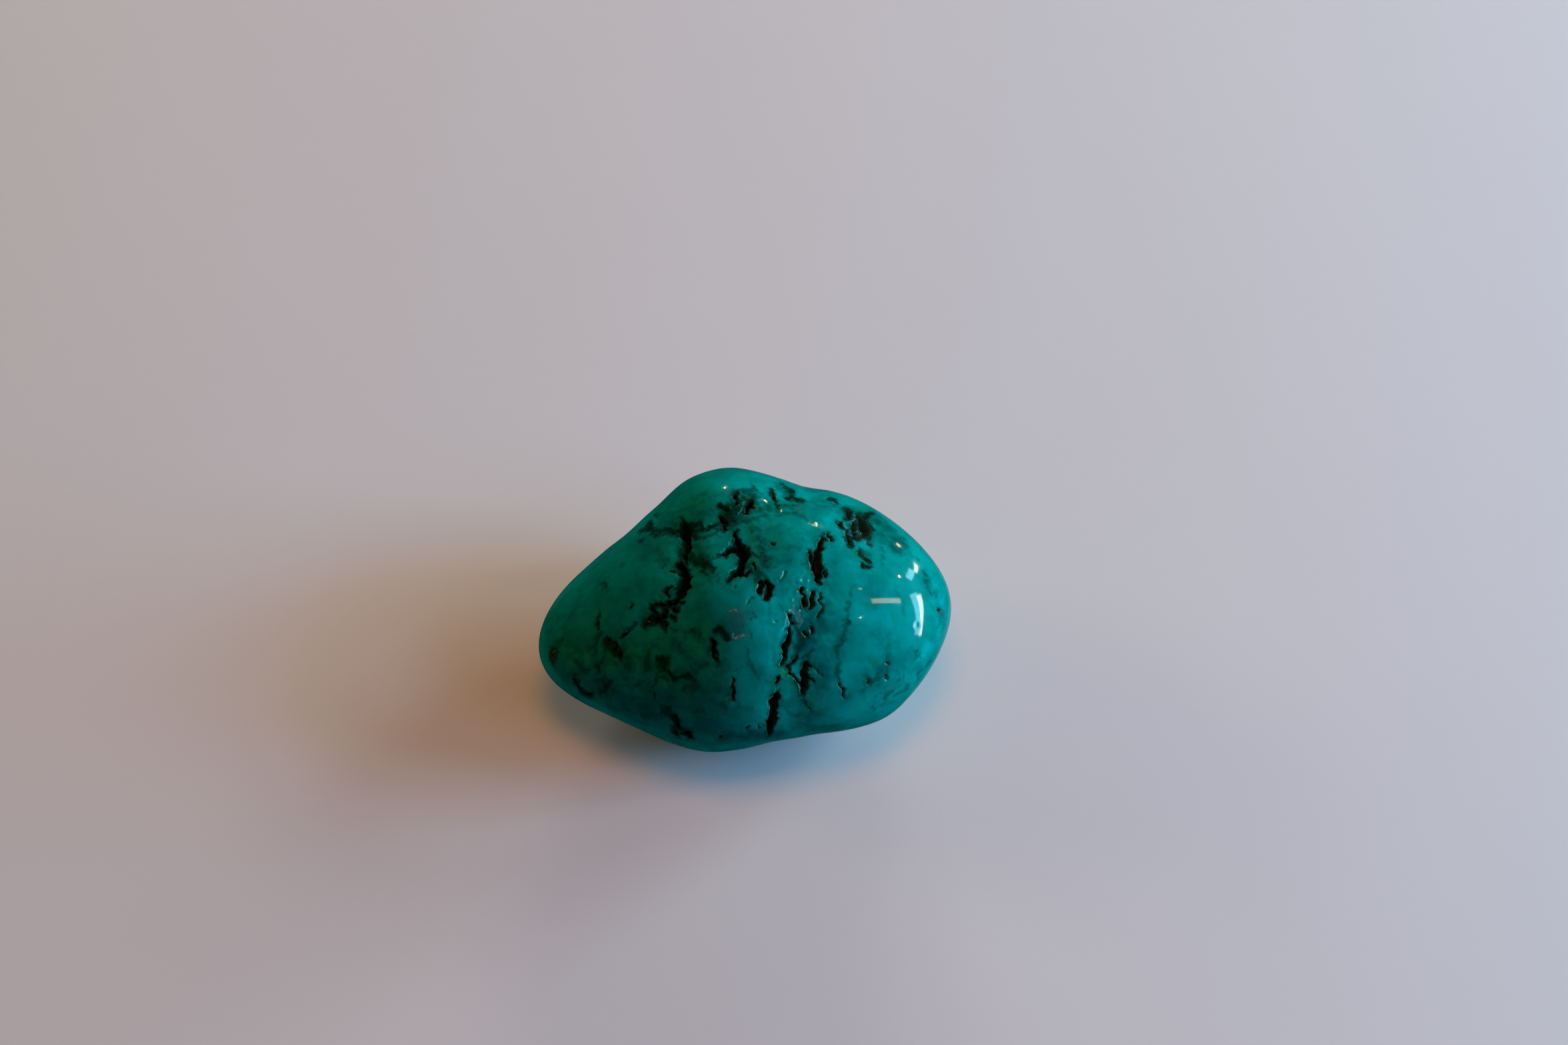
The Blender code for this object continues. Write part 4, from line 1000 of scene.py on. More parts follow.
class Noise(NamedTuple):
    """Noise: its features' size in millimetres, its detail, and how far it bends itself."""

    size: float
    detail: float = 2.0
    bend: float = 0.0


class Cloud(NamedTuple):
    """Noise taken through a smooth step from one share of it to another, up to a top."""

    noise: Noise
    low: float
    high: float
    top: float = 1.0


class Wiring:
    """Adds nodes to a tree and joins them."""

    def __init__(self, tree: Tree) -> None:
        """Keep the tree to add to."""
        self.tree = tree

    def put(self, target: Socket, value: Value) -> None:
        """Link a socket to the target, or set the target's own value.

        Args:
            target: the input to feed.
            value: what it gets.
        """
        if isinstance(value, Socket):
            self.tree.links.new(value, target)
        else:
            target.default_value = value

    def node(self, kind: str, *values: Value, **settings: object) -> bpy.types.Node:
        """A new node.

        Args:
            kind: the node's type.
            values: what goes into its first inputs, in order.
            settings: its other settings by name.

        Returns:
            The node.
        """
        made = self.tree.nodes.new(kind)
        for name, value in settings.items():
            setattr(made, name, value)
        for target, value in zip(made.inputs, values):
            self.put(target, value)
        return made

    def math(self, operation: str, *terms: Value, clamp: bool = True) -> Socket:
        """The result of one sum, kept between 0 and 1 unless clamp is off."""
        return self.node("ShaderNodeMath", *terms, operation=operation, use_clamp=clamp).outputs[0]

    def step(self, value: Value, low: Value, high: Value, top: float = 1.0) -> Socket:
        """A smooth step from 0 at low to top at high."""
        numbers = (value, low, high, 0.0, top)
        return self.node("ShaderNodeMapRange", *numbers, interpolation_type="SMOOTHSTEP").outputs[0]

    def blend(self, share: Value, first: Value, second: Value, mix: Mix = Mix.COLOUR) -> Socket:
        """The first value turning into the second as the share goes from 0 to 1.

        Args:
            share: how much of the second there is.
            first: a colour or a number.
            second: another of the same.
            mix: which of the two they are.

        Returns:
            The blended value.
        """
        kind, first_place, second_place, result = mix.value
        made = self.node("ShaderNodeMix", share, data_type=kind)
        self.put(made.inputs[first_place], first)
        self.put(made.inputs[second_place], second)
        return made.outputs[result]

    def blend_number(self, share: Value, first: Value, second: Value) -> Socket:
        """Blend two numbers, as blend does two colours."""
        return self.blend(share, first, second, Mix.NUMBER)

    def noise(self, vector: Value, noise: Noise, output: str = "Fac") -> Socket:
        """A noise texture.

        Args:
            vector: the places it is read at, in metres.
            noise: its size, detail and bend.
            output: "Fac" for a number, "Color" for three.

        Returns:
            The noise, from 0 to 1.
        """
        made = self.node("ShaderNodeTexNoise")
        self.put(made.inputs["Vector"], vector)
        self.put(made.inputs["Scale"], 1.0 / (noise.size * MM))
        self.put(made.inputs["Detail"], noise.detail)
        self.put(made.inputs["Distortion"], noise.bend)
        return made.outputs[output]

    def cloud(self, vector: Value, cloud: Cloud) -> Socket:
        """Noise taken through its smooth step."""
        return self.step(self.noise(vector, cloud.noise), *cloud[1:])

    def nudge(self, vector: Value, drift: Span) -> Socket:
        """Places moved about by noise: vector + 2 × amount × (noise - a half).

        Args:
            vector: the places.
            drift: the noise's size and the amount, in millimetres.

        Returns:
            The moved places.
        """
        kind = "ShaderNodeVectorMath"
        colours = self.noise(vector, Noise(drift[0]), "Color")
        shift = self.node(kind, colours, (0.5, 0.5, 0.5), operation="SUBTRACT").outputs[0]
        scaled = self.node(kind, shift, operation="SCALE")
        self.put(scaled.inputs["Scale"], 2.0 * drift[1] * MM)
        return self.node(kind, vector, scaled.outputs[0], operation="ADD").outputs[0]

    def bump(self, strength: Value, depth: float, height: Socket, **under: Socket) -> Socket:
        """A bump's normal.

        Args:
            strength: how much of it shows, from 0 to 1.
            depth: its depth in millimetres.
            height: its height from 0 to 1.
            under: the Normal of the bump under it, if there is one.

        Returns:
            The normal.
        """
        made = self.node("ShaderNodeBump")
        fed = {"Strength": strength, "Distance": depth * MM, "Height": height, **under}
        for name, value in fed.items():
            self.put(made.inputs[name], value)
        return made.outputs["Normal"]

    def group(self, tree: Tree, **values: Value) -> bpy.types.Node:
        """A node that stands for a shared group.

        Args:
            tree: the group.
            values: what goes into its inputs, by their names.

        Returns:
            The node.
        """
        made = self.node("ShaderNodeGroup", node_tree=tree)
        for name, value in values.items():
            self.put(made.inputs[name.title()], value)
        return made


# --- shared effects


class SocketKind(Enum):
    """What passes through a group's socket."""

    NUMBER = "NodeSocketFloat"
    COLOUR = "NodeSocketColor"
    VECTOR = "NodeSocketVector"


class SharedEffect:
    """A shader node group with named inputs and outputs, built once."""

    def __init__(self, name: str, inputs: dict[str, float], outputs: dict[str, SocketKind]) -> None:
        """Make the empty group, whose first input is always the place, called Vector.

        Args:
            name: the group's name.
            inputs: each number input's name and its starting value.
            outputs: each output's name and its socket's kind.
        """
        self.tree = bpy.data.node_groups.new(name, "ShaderNodeTree")
        face = self.tree.interface
        face.new_socket(name="Vector", in_out="INPUT", socket_type=SocketKind.VECTOR.value)
        for label, value in inputs.items():
            kind = SocketKind.NUMBER.value
            face.new_socket(name=label, in_out="INPUT", socket_type=kind).default_value = value
        for label, kind in outputs.items():
            face.new_socket(name=label, in_out="OUTPUT", socket_type=kind.value)
        self.wire = Wiring(self.tree)
        self.inside = self.wire.node("NodeGroupInput").outputs
        self.place = self.inside["Vector"]
        self.outside = self.wire.node("NodeGroupOutput").inputs

    def give(self, **sockets: Socket) -> Tree:
        """Join sockets to the outputs of those names.

        Args:
            sockets: the sockets by their outputs' names.

        Returns:
            The finished group.
        """
        for name, socket in sockets.items():
            self.wire.put(self.outside[name.title()], socket)
        return self.tree


@dataclass(frozen=True)
class RaggedEdge:
    """A soft mask made crisp: noise is added to it and a narrow step is taken at a half."""

    fine: Noise = Noise(0.55, 3.0)
    coarse: Noise = Noise(1.7)
    coarse_share: float = 0.35
    middle: float = 0.5

    def group(self) -> Tree:
        """Build the effect.

        Returns:
            Its group, into which go the mask, and how ragged and how soft its edge is.
        """
        effect = SharedEffect("ragged_edge", {"Mask": 0.0, "Raggedness": 0.5, "Softness": 0.12},
                              {"Mask": SocketKind.NUMBER})
        wire, inside = effect.wire, effect.inside
        noise = wire.blend_number(self.coarse_share, wire.noise(effect.place, self.fine),
                                  wire.noise(effect.place, self.coarse))
        ragged, soft = inside["Raggedness"], inside["Softness"]
        centred = wire.math("SUBTRACT", noise, self.middle, clamp=False)
        added = wire.math("MULTIPLY_ADD", centred, ragged, inside["Mask"], clamp=False)
        low = wire.math("SUBTRACT", self.middle, soft, clamp=False)
        high = wire.math("ADD", self.middle, soft, clamp=False)
        return effect.give(mask=wire.step(added, low, high))


@dataclass(frozen=True)
class CloudedStone:
    """Flat stone: three sizes of cloud over the main colour, turned brighter, dimmer, greener
    and deeper where the masks say so, with mossy flecks in the green. The brighter and dimmer
    turns are partly painted light and painted shade. The thinnings are the shares of the dim,
    green and shade masks that are left in the clouds."""

    drift: Span = (6.0, 1.6)
    broad: Cloud = Cloud(Noise(9.0, 3.0), 0.36, 0.64)
    middle: Cloud = Cloud(Noise(3.8, 3.0, 0.3), 0.36, 0.68)
    fine: Cloud = Cloud(Noise(1.2, 3.0), 0.40, 0.66)
    mottle: Noise = Noise(2.8, 4.0, 0.4)
    moss_step: Span = (0.49, 0.62)
    dusk_step: Span = (0.34, 0.48)
    lift_range: Span = (0.3, 0.85)
    fine_share: float = 0.12
    thinnings: Point = (0.72, 0.6, 0.65)
    moss_share: float = 0.8
    dusk_share: float = 0.75

    def group(self, finish: TurquoiseFinish) -> Tree:
        """Build the effect.

        Args:
            finish: the stone's colours.

        Returns:
            Its group, from four masks to a colour.
        """
        masks = dict.fromkeys(("Green", "Shade", "Dim_And_Painted_Shade", "Bright"), 0.0)
        effect = SharedEffect("clouded_stone", masks, {"Color": SocketKind.COLOUR})
        wire, inside = effect.wire, effect.inside
        place = wire.nudge(effect.place, self.drift)
        middle, fine = wire.cloud(place, self.middle), wire.cloud(place, self.fine)
        mottle = wire.noise(effect.place, self.mottle)
        colour = wire.blend(wire.cloud(place, self.broad), finish.low, finish.main)
        # The bright mask lifts the clouds towards the bright colour, which is partly painted light.
        lift = wire.blend_number(inside["Bright"], *self.lift_range)
        colour = wire.blend(wire.math("MULTIPLY", middle, lift), colour, finish.bright)
        colour = wire.blend(wire.math("MULTIPLY", fine, self.fine_share), colour, finish.low)
        for name, clouds, thinning, tint in (
            ("Dim_And_Painted_Shade", middle, self.thinnings[0], finish.deep_and_painted_shade),
            ("Green", fine, self.thinnings[1], finish.green),
            ("Shade", middle, self.thinnings[2], finish.shade),
        ):
            thinned = wire.math("MULTIPLY", inside[name], wire.blend_number(clouds, 1.0, thinning))
            colour = wire.blend(thinned, colour, tint)
        mossy = wire.math("MULTIPLY", wire.step(mottle, *self.moss_step), inside["Green"])
        colour = wire.blend(wire.math("MULTIPLY", mossy, self.moss_share), colour, finish.moss)
        sunk = wire.math("SUBTRACT", 1.0, wire.step(mottle, *self.dusk_step))
        dusk = wire.math("MULTIPLY", sunk, wire.math("MAXIMUM", inside["Dim_And_Painted_Shade"], inside["Green"]))
        dusk = wire.math("MULTIPLY", dusk, self.dusk_share)
        return effect.give(color=wire.blend(dusk, colour, finish.smoke))


@dataclass(frozen=True)
class MatrixSmoke:
    """Dark smoke in the stone: wisps where bent noise crosses its middle value, in patches,
    and a ragged haze that thickens towards a halo. A wisp has its noise and its width."""

    drift: Span = (4.0, 2.2)
    wisps: tuple[tuple[Noise, float], ...] = ((Noise(7.0, 1.5), 0.065), (Noise(4.0, 1.5), 0.045))
    fold: float = 0.5
    patches: Cloud = Cloud(Noise(8.0), 0.44, 0.64)
    breaks: Cloud = Cloud(Noise(1.5, 3.0), 0.34, 0.6)
    haze: Noise = Noise(2.2, 4.0, 0.8)
    fine_haze: Noise = Noise(0.7, 3.0)
    fine_share: float = 0.4
    haze_gain: float = 1.5
    haze_step: Span = (0.95, 1.6)

    def group(self) -> Tree:
        """Build the effect.

        Returns:
            Its group, from the halo and the strength of the wisps to a mask.
        """
        effect = SharedEffect("matrix_smoke", {"Halo": 0.0, "Wisps": 0.5},
                              {"Mask": SocketKind.NUMBER})
        wire = effect.wire
        bent = wire.nudge(effect.place, self.drift)
        ridges = []
        for noise, width in self.wisps:
            fold = wire.math("PINGPONG", wire.noise(bent, noise), self.fold, clamp=False)
            ridges.append(wire.step(fold, self.fold - width, self.fold))
        wisps = wire.math("MAXIMUM", *ridges)
        for cloud in (self.patches, self.breaks):
            wisps = wire.math("MULTIPLY", wisps, wire.cloud(effect.place, cloud))
        wisps = wire.math("MULTIPLY", wisps, effect.inside["Wisps"])
        haze = wire.blend_number(self.fine_share, wire.noise(bent, self.haze),
                                 wire.noise(bent, self.fine_haze))
        thick = wire.math("MULTIPLY_ADD", haze, self.haze_gain, effect.inside["Halo"], clamp=False)
        return effect.give(mask=wire.math("MAXIMUM", wisps, wire.step(thick, *self.haze_step)))


@dataclass(frozen=True)
class MatrixCrust:
    """Broken matrix: brown-black grains with rusty, gold and grey specks, and a rough height.
    Some of the gold is painted glints.
    """

    drift: Span = (1.0, 0.25)
    grain_size: float = 0.5
    rough: Noise = Noise(0.45, 4.0)
    rough_step: Span = (0.35, 0.7)
    seep: Cloud = Cloud(Noise(2.6), 0.6, 0.75, 0.04)
    rust: Cloud = Cloud(Noise(0.8, 3.0), 0.42, 0.62)
    gold_and_painted_glint: Cloud = Cloud(Noise(0.5), 0.52, 0.6)
    gold_from: Span = (0.82, 0.98)
    specks: Cloud = Cloud(Noise(0.38, 1.0), 0.70, 0.78, 0.18)
    grain_share: float = 0.5

    def group(self, finish: TurquoiseFinish) -> Tree:
        """Build the effect.

        Args:
            finish: the stone's colours.

        Returns:
            Its group, from a rust mask to a colour and a height.
        """
        effect = SharedEffect("matrix_crust", {"Rust": 0.0},
                              {"Color": SocketKind.COLOUR, "Height": SocketKind.NUMBER})
        wire, place, rust = effect.wire, effect.place, effect.inside["Rust"]
        grains = wire.node("ShaderNodeTexVoronoi", feature="F1")
        wire.put(grains.inputs["Vector"], wire.nudge(place, self.drift))
        wire.put(grains.inputs["Scale"], 1.0 / (self.grain_size * MM))
        rough = wire.noise(place, self.rough)
        colour = wire.blend(wire.step(rough, *self.rough_step), finish.matrix, finish.matrix_light)
        seeped = wire.math("ADD", rust, wire.cloud(place, self.seep))
        rusty = wire.math("MULTIPLY", seeped, wire.cloud(place, self.rust))
        colour = wire.blend(rusty, colour, finish.rust)
        # Gold specks where rust is full; at the west ledge they are painted glints.
        full = wire.step(rust, *self.gold_from)
        gold_and_glint_share = wire.math("MULTIPLY", full, wire.cloud(place, self.gold_and_painted_glint))
        colour = wire.blend(gold_and_glint_share, colour, finish.gold_and_painted_glint)
        colour = wire.blend(wire.cloud(place, self.specks), colour, finish.grey_speck)
        height = wire.blend_number(self.grain_share, rough, grains.outputs["Distance"])
        return effect.give(color=colour, height=height)


@dataclass(frozen=True)
class RubbedPatch:
    """A rub: a thin veil all over it, and pale clots of fine noise where it is rubbed most."""

    drift: Span = (1.4, 0.5)
    fine: Noise = Noise(0.5, 4.0, 0.8)
    clots_step: Span = (0.38, 0.66)
    clots_from: Span = (0.6, 0.85)
    veil_step: Span = (0.2, 0.6)
    veil_from: Span = (0.0, 0.6)

    def group(self) -> Tree:
        """Build the effect.

        Returns:
            Its group, from a mask to the veil's and the clots'.
        """
        effect = SharedEffect("rubbed_patch", {"Mask": 0.0},
                              {"Veil": SocketKind.NUMBER, "Clots": SocketKind.NUMBER})
        wire, mask = effect.wire, effect.inside["Mask"]
        fine = wire.noise(wire.nudge(effect.place, self.drift), self.fine)
        clots = wire.math("MULTIPLY", wire.step(fine, *self.clots_step),
                          wire.step(mask, *self.clots_from))
        veil = wire.math("MULTIPLY", wire.step(mask, *self.veil_from),
                         wire.step(fine, *self.veil_step))
        return effect.give(veil=veil, clots=clots)


@dataclass(frozen=True)
class TumbledPolish:
    """Tumbled polish: faint smears of duller shine, and the skin's finest waviness."""

    drift: Span = (5.0, 2.5)
    smears: Cloud = Cloud(Noise(3.5, 5.0), 0.5, 0.75)
    swell: Noise = Noise(1.9)
    grain: Noise = Noise(0.5, 3.0)
    grain_share: float = 0.3

    def group(self) -> Tree:
        """Build the effect.

        Returns:
            Its group, from the polish's roughness and what smears add to a roughness and a height.
        """
        effect = SharedEffect("tumbled_polish", {"Shine": 0.12, "Smear": 0.1},
                              {"Roughness": SocketKind.NUMBER, "Height": SocketKind.NUMBER})
        wire, inside = effect.wire, effect.inside
        smears = wire.cloud(wire.nudge(effect.place, self.drift), self.smears)
        added = wire.math("MULTIPLY", smears, inside["Smear"])
        height = wire.blend_number(self.grain_share, wire.noise(effect.place, self.swell),
                                   wire.noise(effect.place, self.grain))
        return effect.give(roughness=wire.math("ADD", added, inside["Shine"]), height=height)


# --- finishes


def plain_material(name: str) -> tuple[bpy.types.Material, Wiring, bpy.types.Node, Socket]:
    """Start a material.

    Args:
        name: the material's name.

    Returns:
        The material, its wiring, its shader node, and each point's place in its object.
    """
    material = bpy.data.materials.new(name)
    material.use_nodes = True
    wire = Wiring(material.node_tree)
    place = wire.node("ShaderNodeTexCoord").outputs["Object"]
    return material, wire, material.node_tree.nodes["Principled BSDF"], place


@dataclass(frozen=True)
class TurquoiseFinish:
    """Polished turquoise with dull matrix in its pits.

    Colours are linear red, green, blue and 1. A bump is a strength and a height in millimetres.

    Attributes:
        main, low, bright: flat stone, and its darker and brighter clouds; bright also serves as
            painted light.
        deep, green, shade: where it is dimmed, which is mostly painted shade on the side turned
        from the window, greener, and deeper and bluer, which is painted shade along the bottom
        edge and in the seam valley.
        moss: flecks in the green.
        stain, smoke, vein: soaked matrix, the smoke round broken ground, and thin lines.
        chalk_and_painted_light: fresh edges, and painted light on the lips of pits that face the
            window.
        scuff, clot: a rub's veil and its clots.
        matrix, matrix_light: bare matrix and its lighter grains.
        rust, gold, grey_speck: its rusty parts, the gold in full rust, which at the west ledge is
        painted glints, and other specks.
        shine: the polish's roughness, and what smears add to it.
        dull, scuffed: the roughness of pits, and of rubs and fresh edges.
        ior, specular: the stone's index of refraction and its specular level.
        wisps: how strong the wisps of smoke are.
        vein_breaks: the noise that breaks veins up.
        stain_cover, chalk_and_painted_light_cover: how well those colours cover.
        edges: how ragged and how soft the edges of three masks are.
        skin_bump: the skin's waviness.
        crust_bump: the matrix's grain, and its strength on a rub.
    """

    main: Colour = (0.0, 0.250, 0.215, 1.0)
    low: Colour = (0.0, 0.165, 0.140, 1.0)
    bright: Colour = (0.0, 0.340, 0.320, 1.0)
    deep_and_painted_shade: Colour = (0.0, 0.070, 0.056, 1.0)
    green: Colour = (0.001, 0.110, 0.058, 1.0)
    moss: Colour = (0.006, 0.210, 0.088, 1.0)
    shade: Colour = (0.0, 0.048, 0.058, 1.0)
    stain: Colour = (0.001, 0.010, 0.004, 1.0)
    smoke: Colour = (0.001, 0.026, 0.014, 1.0)
    vein: Colour = (0.001, 0.045, 0.032, 1.0)
    chalk_and_painted_light: Colour = (0.020, 0.390, 0.350, 1.0)
    scuff: Colour = (0.004, 0.118, 0.112, 1.0)
    clot: Colour = (0.230, 0.260, 0.270, 1.0)
    matrix: Colour = (0.0008, 0.0030, 0.0016, 1.0)
    matrix_light: Colour = (0.0015, 0.015, 0.011, 1.0)
    rust: Colour = (0.062, 0.030, 0.012, 1.0)
    gold_and_painted_glint: Colour = (0.560, 0.280, 0.080, 1.0)
    grey_speck: Colour = (0.030, 0.045, 0.042, 1.0)
    shine: Span = (0.055, 0.1)
    dull: float = 1.0
    scuffed: float = 0.5
    ior: float = 1.55
    specular: float = 0.35
    wisps: float = 0.25
    vein_breaks: Cloud = Cloud(Noise(2.0, 3.0), 0.3, 0.55)
    stain_cover: float = 0.9
    chalk_and_painted_light_cover: float = 0.6
    edges: dict[str, Span] = field(default_factory=lambda: {
        "stain": (1.5, 0.46), "chalk_and_painted_light": (1.3, 0.3), "matrix": (1.3, 0.28)
    })
    skin_bump: Span = (0.03, 0.05)
    crust_bump: Span = (0.3, 0.25)

    def build(self) -> bpy.types.Material:
        """Build the material.

        Returns:
            It, with a colour, roughness and bump that read the skin's masks.
        """
        material, wire, shader, place = plain_material("polished_turquoise")
        mask = {
            name: wire.node("ShaderNodeAttribute", attribute_name=name).outputs["Fac"]
            for name in SkinMasks.NAMES
        }
        edge = RaggedEdge().group()
        stain, chalk_and_painted_light, broken = (
            wire.group(edge, vector=place, mask=mask[name], raggedness=ragged,
                       softness=soft).outputs[0]
            for name, (ragged, soft) in self.edges.items()
        )

        # The dim and bright masks carry painted shade and painted light as well as tone.
        clouds = {name: mask[name] for name in ("green", "shade", "dim_and_painted_shade", "bright")}
        colour = wire.group(CloudedStone().group(self), vector=place, **clouds).outputs[0]
        smoke = wire.group(MatrixSmoke().group(), vector=place, halo=mask["halo"],
                           wisps=self.wisps).outputs[0]
        colour = wire.blend(smoke, colour, self.smoke)
        vein = wire.math("MULTIPLY", mask["vein"], wire.cloud(place, self.vein_breaks))
        colour = wire.blend(vein, colour, self.vein)
        colour = wire.blend(wire.math("MULTIPLY", stain, self.stain_cover), colour, self.stain)
        # Chalk is pale fresh edges, and painted light on pit lips facing the window.
        colour = wire.blend(wire.math("MULTIPLY", chalk_and_painted_light, self.chalk_and_painted_light_cover), colour, self.chalk_and_painted_light)
        rubbed = wire.group(RubbedPatch().group(), vector=place, mask=mask["scuff"]).outputs
        colour = wire.blend(rubbed["Veil"], colour, self.scuff)
        colour = wire.blend(rubbed["Clots"], colour, self.clot)
        crust = wire.group(MatrixCrust().group(self), vector=place, rust=mask["rust"]).outputs
        colour = wire.blend(broken, colour, crust["Color"])

        polish = wire.group(TumbledPolish().group(), vector=place, shine=self.shine[0],
                            smear=self.shine[1]).outputs
        worn = wire.math("MAXIMUM", chalk_and_painted_light, rubbed["Veil"])
        rough = wire.blend_number(worn, polish["Roughness"], self.scuffed)
        rough = wire.blend_number(mask["hollow"], rough, self.dull)
        rough = wire.blend_number(broken, rough, self.dull)
        wire.put(shader.inputs["Base Color"], colour)
        wire.put(shader.inputs["Roughness"], rough)
        rub, depth = self.crust_bump
        strength = wire.math("ADD", broken, wire.math("MULTIPLY", rubbed["Veil"], rub))
        normal = wire.bump(*self.skin_bump, polish["Height"])
        normal = wire.bump(strength, depth, crust["Height"], Normal=normal)
        wire.put(shader.inputs["Normal"], normal)
        shader.inputs["IOR"].default_value = self.ior
        shader.inputs["Specular IOR Level"].default_value = self.specular
        return material


@dataclass(frozen=True)
class FloorFinish:
    """A plain pale matt floor, with the faintest cloudiness."""

    colour: Colour = (0.640, 0.640, 0.640, 1.0)
    cloud: Colour = (0.56, 0.54, 0.57, 1.0)
    clouds: Cloud = Cloud(Noise(40.0, 3.0), 0.3, 0.7, 0.06)
    roughness: float = 0.85
    specular: float = 0.1

    def build(self) -> bpy.types.Material:
        """Build the material.

        Returns:
            It, with its faint clouds.
        """
        material, wire, shader, place = plain_material("pale_floor")
        colour = wire.blend(wire.cloud(place, self.clouds), self.colour, self.cloud)
        wire.put(shader.inputs["Base Color"], colour)
        shader.inputs["Roughness"].default_value = self.roughness
        shader.inputs["Specular IOR Level"].default_value = self.specular
        return material


# --- the stone


@dataclass
class SkinMasks:
    """What the sheets' marks do to each place of the skin.

    Attributes:
        NAMES: the masks' names.
        sunk: how far the skin is drawn in, in millimetres.
        values: each mask, from 0 up.
    """

    NAMES: ClassVar[tuple[str, ...]] = (
        "matrix", "hollow", "halo", "stain", "vein", "green", "shade", "dim_and_painted_shade", "bright",
        "chalk_and_painted_light", "scuff", "rust",
    )

    sunk: Array
    values: dict[str, Array]

    @classmethod
    def bare(cls, count: int) -> SkinMasks:
        """Masks of nothing for that many places."""
        return cls(np.zeros(count), {name: np.zeros(count) for name in cls.NAMES})

    def raise_to(self, name: str, value: Array) -> None:
        """Raise a mask to a value where it is lower."""
        self.values[name] = np.maximum(self.values[name], value)


@dataclass(frozen=True)
class Ground:
    """The skin before its marks: its places in millimetres and unit normals, each place's
    grain share from 0 to 1, and 1 in a crack between two grains, 0 inside a grain."""

    places: Array
    outward: Array
    grain: Array
    cleft: Array


@dataclass(frozen=True)
class MarkReach:
    """How a mark lies over the skin: where the skin faces the mark's sheet, from 0 to 1, the
    distance from the mark's line over its half width, and the millimetres past its edge."""

    seen: Array
    share: Array
    past: Array

    def within(self, edge: Span) -> Array:
        """1 inside the mark, eased to 0 between two shares of its half width, where it is seen."""
        return self.seen * (1.0 - ease(*edge, self.share))

    def bell(self) -> Array:
        """e to the power of -(distance / half width)², where the mark is seen."""
        return self.seen * np.exp(-self.share * self.share)


